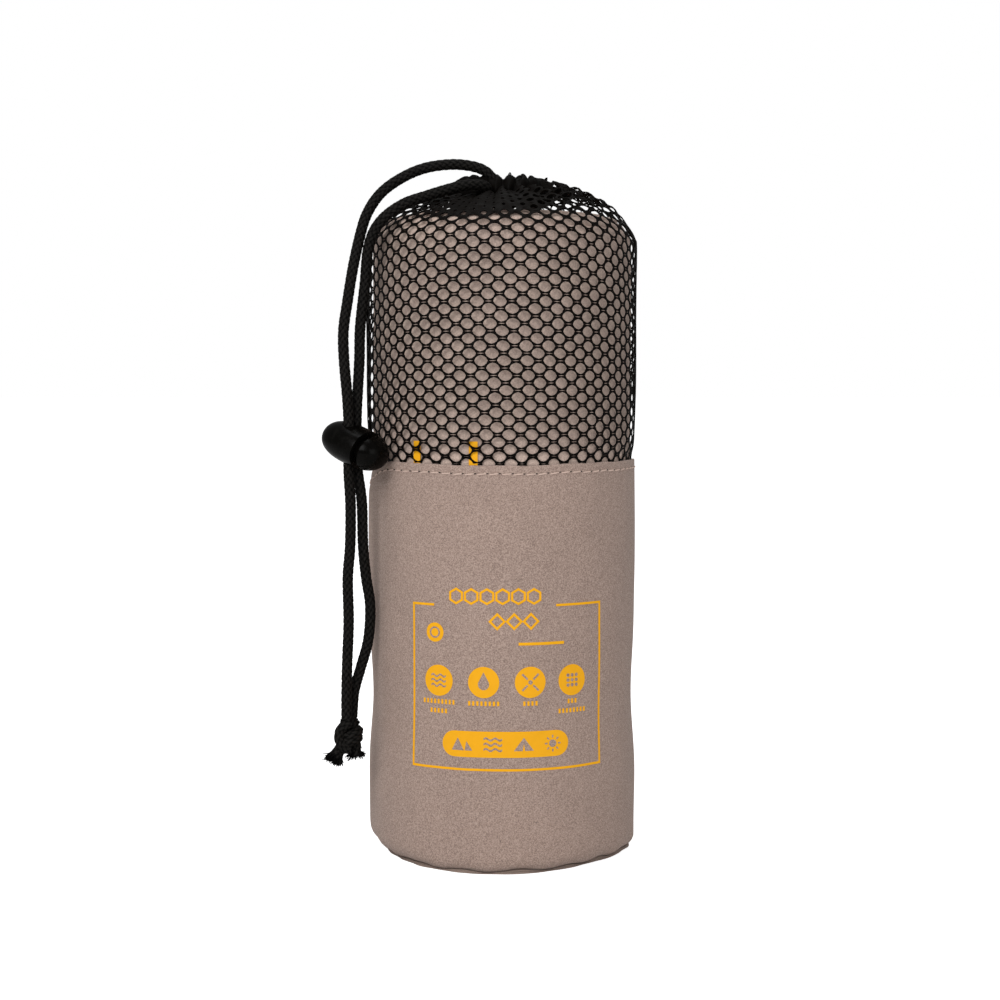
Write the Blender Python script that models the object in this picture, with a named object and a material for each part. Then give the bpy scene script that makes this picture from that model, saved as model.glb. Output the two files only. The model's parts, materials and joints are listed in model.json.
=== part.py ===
"""A rolled quick-dry towel that stands in its drawstring bag, one object for each piece.

Units are metres, +Z is up, and the origin is the middle of the bag's base on the surface it stands on.
-Y is the printed front of the bag. The cord lock hangs on the drawcord's tails at the front left.
"""

import math

import bmesh
import bpy
from mathutils import Matrix, Vector

MM = 0.001
GAP = 0.3 * MM  # clearance between two pieces that touch

# Towel: folded in four lengthways, then rolled from one end
ROLL_RADIUS = 40.6 * MM
ROLL_LENGTH = 199.5 * MM
LAYER_PITCH = 4.0 * MM  # four layers of cloth and the slit to the next turn
LAYER_SLIT = 0.4 * MM
ROLL_TURNS = 9
CLIMB_SHARE = 0.22  # share of each turn in which the cloth climbs over the turn below
CLIMB_START = math.radians(50)
ROLL_TOP_FILLET = 9.0 * MM
ROLL_BOTTOM_FILLET = 6.0 * MM
ROLL_STEPS_PER_TURN = 36

# Bag
BASE_THICKNESS = 1.2 * MM
LIP_THICKNESS = 1.45 * MM
LIP_WIDTH = 4.2 * MM
SLEEVE_WALL = 0.9 * MM
SLEEVE_EASE = 1.1 * MM  # room between the roll and the sleeve
SLEEVE_TOP = 122.6 * MM
CORNER_RADIUS = 5.0 * MM
CORNER_END = math.radians(-75)
NET_WALL = 0.5 * MM
NET_TUCK = 7.0 * MM  # how far the net reaches down inside the sleeve
NET_BULGE = 0.3 * MM  # how far the net stands out past the sleeve
SEAM_WIDTH = 5.0 * MM
SEAM_AZIMUTH = math.radians(184)
SLEEVE_SEAM_THICKNESS = 0.5 * MM
NET_SEAM_THICKNESS = 0.6 * MM
THREAD_RADIUS = 0.25 * MM
HEM_STITCH_DROP = 2.6 * MM
ROUND_STEPS = 48

# Gathered mouth
CHANNEL_RING_RADIUS = 12.5 * MM
CHANNEL_TUBE_RADIUS = 4.0 * MM
CHANNEL_RISE = 8.0 * MM  # from the roll's top to the middle of the channel
EYELET_START = math.radians(234)
EYELET_END = math.radians(275)
DOME_DROP = 5.5 * MM  # how far the cord presses the net down, front left
DOME_DROP_AZIMUTH = math.radians(234)
DOME_DROP_WIDTH = math.radians(55)
DOME_DROP_START = 43.6 * MM  # radius inside which the cord presses the net down
DOME_DROP_FADE = 12.0 * MM

# Drawcord
CORD_DIAMETER = 3.4 * MM
CORD_STEP = 7.0 * MM
FRONT_TAIL_MM = [
    (0.6, -12.5, 209.0),
    (-0.6, -12.6, 209.1),
    (-2.1, -12.8, 211.2),
    (-4.9, -13.2, 214.3),
    (-9.0, -13.7, 215.9),
    (-15.6, -14.7, 216.4),
    (-23.7, -16.3, 215.1),
    (-30.8, -18.2, 211.9),
    (-37.2, -20.0, 207.0),
    (-41.4, -21.4, 200.6),
    (-43.6, -22.6, 193.4),
    (-45.6, -23.8, 184.0),
    (-47.2, -24.8, 174.0),
    (-48.5, -25.5, 164.5),
    (-48.3, -26.0, 155.5),
    (-47.5, -26.4, 146.4),
    (-47.0, -26.5, 138.5),
    (-46.9, -26.5, 129.8),
    (-47.0, -26.5, 121.5),
    (-46.5, -26.4, 111.0),
    (-46.7, -26.2, 98.6),
    (-47.5, -26.0, 88.5),
    (-47.3, -26.0, 75.0),
    (-47.8, -26.3, 62.0),
    (-48.0, -26.8, 52.0),
    (-48.0, -27.0, 44.9),
]
REAR_TAIL_MM = [
    (-7.0, -10.5, 209.0),
    (-6.0, -11.3, 209.0),
    (-4.7, -12.7, 208.9),
    (-4.4, -14.3, 208.9),
    (-5.2, -16.6, 209.4),
    (-7.6, -18.4, 209.8),
    (-13.0, -20.0, 209.1),
    (-22.6, -22.0, 206.1),
    (-30.6, -24.6, 202.9),
    (-37.3, -24.9, 197.6),
    (-40.8, -23.6, 190.4),
    (-42.1, -22.6, 178.9),
    (-43.6, -22.2, 166.0),
    (-43.9, -22.4, 155.7),
    (-44.4, -23.0, 146.4),
    (-44.8, -23.4, 138.0),
    (-44.8, -23.4, 129.8),
    (-44.5, -23.4, 121.5),
    (-43.3, -23.2, 112.0),
    (-43.0, -22.6, 98.4),
    (-42.2, -21.6, 88.5),
    (-41.0, -21.0, 79.5),
    (-41.6, -21.2, 69.0),
    (-44.0, -22.2, 60.0),
    (-45.9, -23.0, 53.0),
    (-46.6, -23.4, 44.9),
]
KNOT_CENTRE = Vector((-47.3, -25.2, 39.7)) * MM
KNOT_HALF_SIZE = Vector((4.6, 4.8, 4.9)) * MM
KNOT_LUMPS = 0.07
LEFT_END_MM = [(-49.9, -25.5, 34.9), (-51.2, -25.7, 32.6), (-52.4, -25.9, 29.8)]
RIGHT_END_MM = [(-46.1, -24.9, 34.4), (-45.6, -24.7, 33.0), (-45.2, -24.5, 31.6)]
FRAY_SPREAD = 1.25  # a frayed end's tip against the cord's radius

# Cord lock: a flattened bean whose button slides along its length
LOCK_AZIMUTH = math.radians(209.54)
LOCK_STAND_OFF = 8.82 * MM  # from the net's widest radius to the bean's centre
LOCK_HEIGHT = 129.4 * MM
PRESS_AXIS = Vector((0.78, -0.52, -0.35)).normalized()
BEAN_HALF_LENGTH = 11.4 * MM
BEAN_HALF_WIDTH = 7.4 * MM
BEAN_HALF_HEIGHT = 6.2 * MM
BEAN_BLUNTNESS = 2.6  # 2 is an ellipsoid, more is blunter
BODY_RIM = 4.0 * MM
BUTTON_TRAVEL = 2.0 * MM
CUP_HALF_WIDTH = 5.5 * MM
CUP_HALF_HEIGHT = 4.0 * MM
STEM_END = -5.4 * MM
CUP_FLOOR = STEM_END - BUTTON_TRAVEL - 0.2 * MM  # the pressed stem stops just short of it
SPRING_POCKET_RADIUS = 2.5 * MM
SPRING_POCKET_FLOOR = -9.9 * MM
HOLE_OFFSET = -1.1 * MM
CORD_CLEARANCE = 0.35 * MM
SPRING_WIRE = 0.5 * MM
SPRING_RADIUS = 1.85 * MM
SPRING_TURNS = 3

# Worked out from the sizes above
SLEEVE_INNER = ROLL_RADIUS + SLEEVE_EASE
SLEEVE_OUTER = SLEEVE_INNER + SLEEVE_WALL
NET_WIDEST = SLEEVE_OUTER + NET_BULGE
NET_AT_HEM = SLEEVE_INNER - GAP
ROLL_BOTTOM = BASE_THICKNESS + GAP
ROLL_TOP = ROLL_BOTTOM + ROLL_LENGTH
CHANNEL_HEIGHT = ROLL_TOP + CHANNEL_RISE
NET_RIM_RADIUS = CHANNEL_RING_RADIUS + CHANNEL_TUBE_RADIUS + 0.8 * MM
CORD_RADIUS = CORD_DIAMETER / 2
CORD_BORE = CORD_RADIUS + CORD_CLEARANCE + 0.1 * MM
CORD_SPACING = CORD_DIAMETER + GAP
LOCK_CENTRE = Vector(
    (
        (NET_WIDEST + LOCK_STAND_OFF) * math.cos(LOCK_AZIMUTH),
        (NET_WIDEST + LOCK_STAND_OFF) * math.sin(LOCK_AZIMUTH),
        LOCK_HEIGHT,
    )
)

TAUPE = (0.40, 0.31, 0.26)
TAUPE_DARK = (0.30, 0.235, 0.195)
TOWEL_TAUPE = (0.36, 0.28, 0.24)
THREAD_PALE = (0.62, 0.50, 0.42)
NET_BLACK = (0.012, 0.009, 0.007)
CORD_BLACK = (0.015, 0.014, 0.014)
PLASTIC_BLACK = (0.010, 0.010, 0.011)
STEEL = (0.55, 0.55, 0.56)


def clear_scene():
    """Remove every object that the scene starts with."""
    for item in list(bpy.data.objects):
        bpy.data.objects.remove(item, do_unlink=True)


def give_material(item, colour, roughness, metallic=0.0):
    """Give an object a Principled material of its own."""
    material = bpy.data.materials.new(item.name)
    material.use_nodes = True
    shader = material.node_tree.nodes["Principled BSDF"]
    shader.inputs["Base Color"].default_value = (*colour, 1.0)
    shader.inputs["Roughness"].default_value = roughness
    shader.inputs["Metallic"].default_value = metallic
    item.data.materials.append(material)


def add_mesh(name, points, faces, colour, roughness, metallic=0.0, sharp=35):
    """Make one closed, outward-facing object from points and faces."""
    mesh = bpy.data.meshes.new(name)
    mesh.from_pydata([tuple(p) for p in points], [], faces)
    work = bmesh.new()
    work.from_mesh(mesh)
    bmesh.ops.recalc_face_normals(work, faces=work.faces)
    work.to_mesh(mesh)
    work.free()
    mesh.shade_smooth()
    mesh.set_sharp_from_angle(angle=math.radians(sharp))
    item = bpy.data.objects.new(name, mesh)
    bpy.context.collection.objects.link(item)
    if colour is not None:
        give_material(item, colour, roughness, metallic)
    return item


def skin(rings, wrap_rings):
    """Faces over rings of points, each ring closed. The ends are capped unless the rings wrap."""
    count = len(rings[0])
    points = [p for ring in rings for p in ring]
    pairs = [(n, n + 1) for n in range(len(rings) - 1)]
    if wrap_rings:
        pairs.append((len(rings) - 1, 0))
    faces = []
    for low, high in pairs:
        for n in range(count):
            m = (n + 1) % count
            faces.append((low * count + n, low * count + m, high * count + m, high * count + n))
    if not wrap_rings:
        faces.append(tuple(range(count - 1, -1, -1)))
        faces.append(tuple(range((len(rings) - 1) * count, len(rings) * count)))
    return points, faces


def turned_ring(name, outline, colour, roughness, place=None):
    """Turn a closed outline of (radius, height) about Z. place may move a (radius, height, azimuth)."""
    rings = []
    for radius, height in outline:
        ring = []
        for n in range(ROUND_STEPS):
            azimuth = 2 * math.pi * n / ROUND_STEPS
            r, z = place(radius, height, azimuth) if place else (radius, height)
            ring.append(Vector((r * math.cos(azimuth), r * math.sin(azimuth), z)))
        rings.append(ring)
    return add_mesh(name, *skin(rings, wrap_rings=True), colour, roughness)


def arc_points(centre, radius, start, end, steps):
    """(radius, height) points along an arc, for turned outlines."""
    turns = [start + (end - start) * n / steps for n in range(steps + 1)]
    return [(centre[0] + radius * math.cos(a), centre[1] + radius * math.sin(a)) for a in turns]


def smooth_step(share):
    """0 below 0, 1 above 1, and an even curve between."""
    share = min(max(share, 0.0), 1.0)
    return share * share * (3 - 2 * share)


def frames_along(points):
    """A pair of vectors across the path at each of its points, turned as little as possible."""
    tangents = []
    for n in range(len(points)):
        before = points[max(n - 1, 0)]
        after = points[min(n + 1, len(points) - 1)]
        tangents.append((after - before).normalized())
    side = tangents[0].orthogonal().normalized()
    frames = []
    for tangent in tangents:
        side = (side - tangent * side.dot(tangent)).normalized()
        frames.append((side, tangent.cross(side)))
    return frames


def tube(name, points, radii, colour, roughness, metallic=0.0, sides=8):
    """A capped round tube along a path. radii is one radius, or one for each point."""
    if not isinstance(radii, list):
        radii = [radii] * len(points)
    rings = []
    for point, radius, (side, up) in zip(points, radii, frames_along(points)):
        ring = []
        for n in range(sides):
            turn = 2 * math.pi * n / sides
            ring.append(point + radius * (math.cos(turn) * side + math.sin(turn) * up))
        rings.append(ring)
    return add_mesh(name, *skin(rings, wrap_rings=False), colour, roughness, metallic, sharp=50)


def thread_ring(name, radius, height, colour):
    """A closed ring of sewing thread round the bag."""
    outline = [
        (radius + THREAD_RADIUS * math.cos(a), height + THREAD_RADIUS * math.sin(a))
        for a in (2 * math.pi * n / 6 for n in range(6))
    ]
    return turned_ring(name, outline, colour, 0.8)


# Towel


def roll_edge_heights(radius):
    """Lowest and highest point of the roll at a radius, with its two rounded edges."""
    top, bottom = ROLL_TOP, ROLL_BOTTOM
    past = radius - (ROLL_RADIUS - ROLL_TOP_FILLET)
    if past > 0:
        top -= ROLL_TOP_FILLET - math.sqrt(max(ROLL_TOP_FILLET**2 - past**2, 0.0))
    past = radius - (ROLL_RADIUS - ROLL_BOTTOM_FILLET)
    if past > 0:
        bottom += ROLL_BOTTOM_FILLET - math.sqrt(max(ROLL_BOTTOM_FILLET**2 - past**2, 0.0))
    return bottom, top


def roll_middle_radius(turns):
    """Radius of the cloth's middle after some turns: round, with one climb in each turn."""
    whole = math.floor(turns)
    climb = smooth_step((turns - whole - (1 - CLIMB_SHARE)) / CLIMB_SHARE)
    core = ROLL_RADIUS - (LAYER_PITCH - LAYER_SLIT) / 2 - ROLL_TURNS * LAYER_PITCH
    return core + LAYER_PITCH * (whole + climb)


def roll_azimuth(turns):
    """Azimuth of the cloth after some turns. Each climb begins at CLIMB_START."""
    return CLIMB_START + 2 * math.pi * (turns + CLIMB_SHARE)


def make_towel():
    """The roll as one band of cloth, and the stitched edge at its loose end."""
    half = (LAYER_PITCH - LAYER_SLIT) / 2
    last_turn = ROLL_TURNS + 1 - CLIMB_SHARE
    steps = round(last_turn * ROLL_STEPS_PER_TURN)
    rings = []
    for n in range(steps + 1):
        turns = last_turn * n / steps
        azimuth = roll_azimuth(turns)
        along = Vector((math.cos(azimuth), math.sin(azimuth), 0))
        ring = []
        for radius in (roll_middle_radius(turns) - half, roll_middle_radius(turns) + half):
            low, high = roll_edge_heights(radius)
            ends = (low, high) if not ring else (high, low)
            ring += [along * radius + Vector((0, 0, z)) for z in ends]
        rings.append(ring)
    add_mesh("towel_roll", *skin(rings, wrap_rings=False), TOWEL_TAUPE, 0.95, sharp=40)

    end = roll_azimuth(last_turn)
    outward = Vector((math.cos(end), math.sin(end), 0))
    onward = Vector((-math.sin(end), math.cos(end), 0))
    inner = ROLL_RADIUS - LAYER_PITCH + 2 * GAP
    outer = ROLL_RADIUS - GAP
    low = ROLL_BOTTOM + ROLL_BOTTOM_FILLET
    high = ROLL_TOP - ROLL_TOP_FILLET
    bead = 0.8 * MM
    rings = []
    for z in (low, high):
        corners = [(inner, GAP), (outer, GAP), (outer, GAP + bead), (inner, GAP + bead)]
        rings.append([outward * r + onward * t + Vector((0, 0, z)) for r, t in corners])
    add_mesh("towel_edge_stitch", *skin(rings, wrap_rings=False), THREAD_PALE, 0.9)


# Bag


def corner_centre():
    """Centre of the arc that rounds the sleeve's lower edge, as (radius, height)."""
    return SLEEVE_OUTER - CORNER_RADIUS, LIP_THICKNESS + GAP + CORNER_RADIUS * math.sin(-CORNER_END)


def make_base():
    """The round base panel, and the seam allowance that stands out round it as a thin lip."""
    lip_inner = corner_centre()[0] - 0.6 * MM
    disc_radius = lip_inner - GAP
    rings = []
    for radius, height in (
        (disc_radius - 0.3 * MM, 0.0),
        (disc_radius, 0.3 * MM),
        (disc_radius, BASE_THICKNESS - 0.3 * MM),
        (disc_radius - 0.3 * MM, BASE_THICKNESS),
    ):
        turns = [2 * math.pi * n / ROUND_STEPS for n in range(ROUND_STEPS)]
        rings.append([Vector((radius * math.cos(a), radius * math.sin(a), height)) for a in turns])
    add_mesh("bag_base", *skin(rings, wrap_rings=False), TAUPE_DARK, 0.9)

    edge = 0.4 * MM
    outer = lip_inner + LIP_WIDTH
    outline = [
        (lip_inner, 0.0),
        (outer - edge, 0.0),
        (outer, edge),
        (outer, LIP_THICKNESS - edge),
        (outer - edge, LIP_THICKNESS),
        (lip_inner, LIP_THICKNESS - 0.1 * MM),
    ]
    turned_ring("base_seam", outline, TAUPE_DARK, 0.9)


def make_sleeve():
    """The taupe sleeve with its rounded lower corner, its inner seam and its hem stitch."""
    centre = corner_centre()
    outer_arc = arc_points(centre, CORNER_RADIUS, CORNER_END, 0, 4)
    inner_arc = arc_points(centre, CORNER_RADIUS - SLEEVE_WALL, 0, CORNER_END, 4)
    hem_edge = 0.3 * MM
    outline = outer_arc
    outline += [(SLEEVE_OUTER, SLEEVE_TOP - hem_edge), (SLEEVE_OUTER - hem_edge, SLEEVE_TOP)]
    outline += [(SLEEVE_INNER + hem_edge, SLEEVE_TOP), (SLEEVE_INNER, SLEEVE_TOP - hem_edge)]
    outline += inner_arc
    turned_ring("bag_sleeve", outline, TAUPE, 0.92)

    thread_ring(
        "hem_topstitch",
        SLEEVE_OUTER + THREAD_RADIUS + 0.15 * MM,
        SLEEVE_TOP - HEM_STITCH_DROP,
        THREAD_PALE,
    )
    low = centre[1] + 1.0 * MM
    high = SLEEVE_TOP - NET_TUCK - GAP
    inner = (SLEEVE_INNER + ROLL_RADIUS - SLEEVE_SEAM_THICKNESS) / 2
    levels = [(inner, low), (inner, high)]
    seam_strip("sleeve_side_seam", levels, SLEEVE_SEAM_THICKNESS, TAUPE_DARK)


def seam_strip(name, levels, thickness, colour):
    """An upright strip inside the bag's left side, through (inner radius, height) levels."""
    rings = []
    steps = 4
    for inner, height in levels:
        spread = SEAM_WIDTH / inner
        turns = [SEAM_AZIMUTH + spread * (n / steps - 0.5) for n in range(steps + 1)]
        outline = [(inner, a) for a in turns] + [(inner + thickness, a) for a in reversed(turns)]
        rings.append([Vector((r * math.cos(a), r * math.sin(a), height)) for r, a in outline])
    add_mesh(name, *skin(rings, wrap_rings=False), colour, 0.9)


def net_profile():
    """The net's outer line from inside the hem up to the gather, as (radius, height) points."""
    widest = NET_WIDEST
    shoulder = ROLL_TOP
    rim = CHANNEL_HEIGHT
    return [
        (NET_AT_HEM, SLEEVE_TOP - NET_TUCK),
        (NET_AT_HEM, SLEEVE_TOP + 0.2 * MM),
        (widest - 0.7 * MM, SLEEVE_TOP + 5 * MM),
        (widest - 0.1 * MM, SLEEVE_TOP + 16 * MM),
        (widest, SLEEVE_TOP + 32 * MM),
        (widest, shoulder - 12 * MM),
        (widest - 0.4 * MM, shoulder - 6 * MM),
        (widest - 2.9 * MM, shoulder - 1.2 * MM),
        (widest - 6.0 * MM, shoulder + 3.0 * MM),
        (widest - 9.9 * MM, shoulder + 6.0 * MM),
        ((widest - 9.9 * MM + NET_RIM_RADIUS) / 2, rim + 1.4 * MM),
        (NET_RIM_RADIUS, rim + 3.0 * MM),
    ]


def press_down(radius, height, azimuth):
    """Lower the net's dome at the front left, where the drawcord lies on it."""
    across = math.remainder(azimuth - DOME_DROP_AZIMUTH, 2 * math.pi) / DOME_DROP_WIDTH
    inward = smooth_step((DOME_DROP_START - radius) / DOME_DROP_FADE)
    above = smooth_step((height - (ROLL_TOP - 12 * MM)) / (6 * MM))
    return radius, height - DOME_DROP * math.exp(-(across**2)) * inward * above


def make_net():
    """The net as one thin shell, and its seam on the inner side."""
    outer = net_profile()
    inner = []
    for n, (radius, height) in enumerate(outer):
        before, after = outer[max(n - 1, 0)], outer[min(n + 1, len(outer) - 1)]
        run, rise = after[0] - before[0], after[1] - before[1]
        length = math.hypot(run, rise)
        inner.append((radius - NET_WALL * rise / length, height + NET_WALL * run / length))
    turned_ring("mesh_upper", outer + inner[::-1], NET_BLACK, 0.6, press_down)

    levels = [
        (radius - GAP - NET_SEAM_THICKNESS, height)
        for radius, height in inner
        if SLEEVE_TOP + 10 * MM < height < ROLL_TOP - 10 * MM
    ]
    seam_strip("mesh_side_seam", levels, NET_SEAM_THICKNESS, NET_BLACK)


# Gathered mouth and drawcord


def ring_point(azimuth, radius=CHANNEL_RING_RADIUS, height=CHANNEL_HEIGHT):
    """A point at an azimuth on a level ring."""
    return Vector((radius * math.cos(azimuth), radius * math.sin(azimuth), height))


def channel_azimuths(steps):
    """Azimuths round the channel, from the eyelet's one side to its other."""
    span = 2 * math.pi - (EYELET_END - EYELET_START)
    return [EYELET_END + span * n / steps for n in range(steps + 1)]


def make_channel():
    """The gathered hem as a hollow ring that is open at the eyelet, and its stitch line."""
    steps, sides = 36, 10
    azimuths = channel_azimuths(steps)
    points, faces = [], []
    for azimuth in azimuths:
        for radius in (CHANNEL_TUBE_RADIUS, CORD_BORE):
            for n in range(sides):
                turn = 2 * math.pi * n / sides
                across = CHANNEL_RING_RADIUS + radius * math.cos(turn)
                points.append(ring_point(azimuth, across, CHANNEL_HEIGHT + radius * math.sin(turn)))
    stride = 2 * sides
    for k in range(steps):
        for wall, start in ((0, 0), (1, sides)):
            for n in range(sides):
                m = (n + 1) % sides
                a, b = k * stride + start + n, k * stride + start + m
                quad = (a, b, b + stride, a + stride)
                faces.append(quad if wall == 0 else quad[::-1])
    for k in (0, steps):
        for n in range(sides):
            m = (n + 1) % sides
            a, b = k * stride + n, k * stride + m
            quad = (a, a + sides, b + sides, b)
            faces.append(quad if k == 0 else quad[::-1])
    add_mesh("drawcord_channel", points, faces, NET_BLACK, 0.7)

    below = math.radians(-42)
    away = CHANNEL_TUBE_RADIUS + THREAD_RADIUS + 0.15 * MM
    radius = CHANNEL_RING_RADIUS + away * math.cos(below)
    height = CHANNEL_HEIGHT + away * math.sin(below)
    path = [ring_point(a, radius, height) for a in azimuths]
    tube("channel_topstitch", path, THREAD_RADIUS, NET_BLACK, 0.8, sides=6)
    path = [ring_point(a) for a in azimuths]
    tube("drawcord_loop", path, CORD_RADIUS, CORD_BLACK, 0.6)


def smooth_route(route, step):
    """Points along a smooth curve through a route, about a step apart."""
    route = [Vector(p) for p in route]
    route = [2 * route[0] - route[1], *route, 2 * route[-1] - route[-2]]
    points = []
    for n in range(1, len(route) - 2):
        p0, p1, p2, p3 = route[n - 1 : n + 3]
        parts = max(1, round((p2 - p1).length / step))
        for k in range(parts):
            t = k / parts
            points.append(
                0.5
                * (
                    2 * p1
                    + (p2 - p0) * t
                    + (2 * p0 - 5 * p1 + 4 * p2 - p3) * t**2
                    + (3 * p1 - p0 - 3 * p2 + p3) * t**3
                )
            )
    points.append(route[-2])
    return points


def cord(name, route_mm):
    """A stretch of drawcord as a round curve through its route's points."""
    points = smooth_route([Vector(p) * MM for p in route_mm], CORD_STEP)
    curve = bpy.data.curves.new(name, "CURVE")
    curve.dimensions = "3D"
    curve.bevel_depth = CORD_RADIUS
    curve.bevel_resolution = 2
    curve.use_fill_caps = True
    spline = curve.splines.new("POLY")
    spline.points.add(len(points) - 1)
    for target, point in zip(spline.points, points):
        target.co = (*point, 1.0)
    item = bpy.data.objects.new(name, curve)
    bpy.context.collection.objects.link(item)
    give_material(item, CORD_BLACK, 0.6)


def make_knot():
    """The knot that joins the tails, and the two frayed ends under it."""
    rows, columns = 10, 16
    rings = []
    for row in range(1, rows):
        polar = math.pi * row / rows
        ring = []
        for column in range(columns):
            azimuth = 2 * math.pi * column / columns
            lump = 1 - KNOT_LUMPS * (0.5 + 0.5 * math.sin(3 * azimuth + 4 * polar))
            spot = Vector(
                (
                    math.sin(polar) * math.cos(azimuth) * KNOT_HALF_SIZE.x,
                    math.sin(polar) * math.sin(azimuth) * KNOT_HALF_SIZE.y,
                    -math.cos(polar) * KNOT_HALF_SIZE.z,
                )
            )
            ring.append(KNOT_CENTRE + lump * spot)
        rings.append(ring)
    add_mesh("end_knot", *skin(rings, wrap_rings=False), CORD_BLACK, 0.7)
    for name, route in (("cord_end_left", LEFT_END_MM), ("cord_end_right", RIGHT_END_MM)):
        radii = [CORD_RADIUS * (1 + (FRAY_SPREAD - 1) * n / 2) for n in range(3)]
        tube(name, [Vector(p) * MM for p in route], radii, CORD_BLACK, 0.7)


# Cord lock


def lock_frame():
    """Placement of the lock's own frame: X along the press, Y level across it, Z up and away."""
    across = Vector((0, 0, 1)).cross(PRESS_AXIS).normalized()
    up = PRESS_AXIS.cross(across)
    frame = Matrix((PRESS_AXIS, across, up)).transposed().to_4x4()
    frame.translation = LOCK_CENTRE
    return frame


def oval_rings(sections, steps=28):
    """Rings across the lock's X axis, from (place, half width, half height) sections."""
    rings = []
    for place, width, height in sections:
        turns = [2 * math.pi * n / steps for n in range(steps)]
        rings.append([Vector((place, width * math.cos(a), height * math.sin(a))) for a in turns])
    return rings


def bean_section(place):
    """The bean's half width and half height at a place along its length."""
    share = abs(place) / BEAN_HALF_LENGTH
    scale = max(1 - share**BEAN_BLUNTNESS, 0.0) ** (1 / BEAN_BLUNTNESS)
    return place, BEAN_HALF_WIDTH * scale, BEAN_HALF_HEIGHT * scale


def cutter(name, rings, frame):
    """A closed shape that only cuts."""
    item = add_mesh(name, *skin(rings, wrap_rings=False), None, 0)
    item.matrix_world = frame
    item.hide_render = True
    item.display_type = "WIRE"
    return item


def cut(item, tool):
    """Take a cutter's shape out of an object."""
    change = item.modifiers.new(tool.name, "BOOLEAN")
    change.operation = "DIFFERENCE"
    change.solver = "EXACT"
    change.object = tool


def cord_slot(name, extra):
    """An upright slot that both cords pass through side by side, longer by extra along the press."""
    frame = lock_frame()
    across = frame.col[1].to_3d()
    level = Vector((PRESS_AXIS.x, PRESS_AXIS.y, 0)).normalized()
    hole = LOCK_CENTRE + PRESS_AXIS * HOLE_OFFSET
    reach = CORD_RADIUS + CORD_CLEARANCE
    half_spacing = CORD_SPACING / 2
    outline = []
    for side in (1, -1):
        for n in range(7):
            turn = math.pi * n / 6
            along = reach * math.cos(turn) * side
            along += extra if along > 0.01 * MM else 0.0
            outline.append((along, side * (half_spacing + reach * math.sin(turn))))
    tall = 2.5 * BEAN_HALF_WIDTH
    rings = []
    for z in (-tall, tall):
        up = Vector((0, 0, z))
        rings.append([hole + level * a + across * b + up for a, b in outline])
    return cutter(name, rings, Matrix())


def make_lock():
    """The lock's body with its cup and cord slot, the button with its stem, and the spring."""
    frame = lock_frame()
    tip = 0.985 * BEAN_HALF_LENGTH
    places = [-tip, -0.94 * BEAN_HALF_LENGTH, -0.84 * BEAN_HALF_LENGTH, -0.68 * BEAN_HALF_LENGTH]
    places += [-0.45 * BEAN_HALF_LENGTH, -0.15 * BEAN_HALF_LENGTH, BODY_RIM]
    body = add_mesh(
        "lock_body",
        *skin(oval_rings([bean_section(p) for p in places]), wrap_rings=False),
        PLASTIC_BLACK,
        0.3,
    )
    body.matrix_world = frame
    past_rim = BODY_RIM + 2 * MM
    cup = [(CUP_FLOOR, CUP_HALF_WIDTH, CUP_HALF_HEIGHT), (past_rim, CUP_HALF_WIDTH, CUP_HALF_HEIGHT)]
    cut(body, cutter("cup_cutter", oval_rings(cup), frame))
    pocket = SPRING_POCKET_RADIUS
    bottom = [(SPRING_POCKET_FLOOR, pocket, pocket), (CUP_FLOOR + 1 * MM, pocket, pocket)]
    cut(body, cutter("spring_pocket_cutter", oval_rings(bottom, 16), frame))
    cut(body, cord_slot("body_slot_cutter", 0.0))

    shoulder = BODY_RIM + BUTTON_TRAVEL + GAP
    stem_width, stem_height = CUP_HALF_WIDTH - GAP, CUP_HALF_HEIGHT - GAP
    sections = [(STEM_END, stem_width, stem_height), (shoulder, stem_width, stem_height)]
    sections.append(bean_section(shoulder))
    sections += [bean_section(s * BEAN_HALF_LENGTH) for s in (0.68, 0.8, 0.9, 0.96)]
    sections.append(bean_section(tip))
    button = add_mesh(
        "lock_button", *skin(oval_rings(sections), wrap_rings=False), PLASTIC_BLACK, 0.3
    )
    button.matrix_world = frame
    travel = BUTTON_TRAVEL * Vector((PRESS_AXIS.x, PRESS_AXIS.y, 0)).length
    cut(button, cord_slot("stem_slot_cutter", travel + 0.1 * MM))

    wire = SPRING_WIRE / 2
    start = SPRING_POCKET_FLOOR + GAP + wire
    length = STEM_END - GAP - wire - start
    turns = SPRING_TURNS + 0.5
    steps = round(12 * turns)
    path = []
    for n in range(steps + 1):
        share = n / steps
        turn = 2 * math.pi * turns * share
        spot = (start + length * share, SPRING_RADIUS * math.cos(turn), SPRING_RADIUS * math.sin(turn))
        path.append(Vector(spot))
    spring = tube("lock_spring", path, wire, STEEL, 0.3, 1.0, sides=6)
    spring.matrix_world = frame


def main():
    """Model every piece."""
    clear_scene()
    make_towel()
    make_base()
    make_sleeve()
    make_net()
    make_channel()
    cord("drawcord_tail_front", FRONT_TAIL_MM)
    cord("drawcord_tail_rear", REAR_TAIL_MM)
    make_knot()
    make_lock()


main()
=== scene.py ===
"""A quick-dry towel rolled up in its drawstring bag: every surface that shows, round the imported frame.

Units are metres and +Z is up. The printed front faces -Y, and the cord lock hangs at the front left.
"""

import bisect
import json
import math
import random

import bmesh
import bpy
from bpy.props import FloatProperty, FloatVectorProperty, IntProperty, PointerProperty
from mathutils import Matrix, Vector, noise

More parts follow.
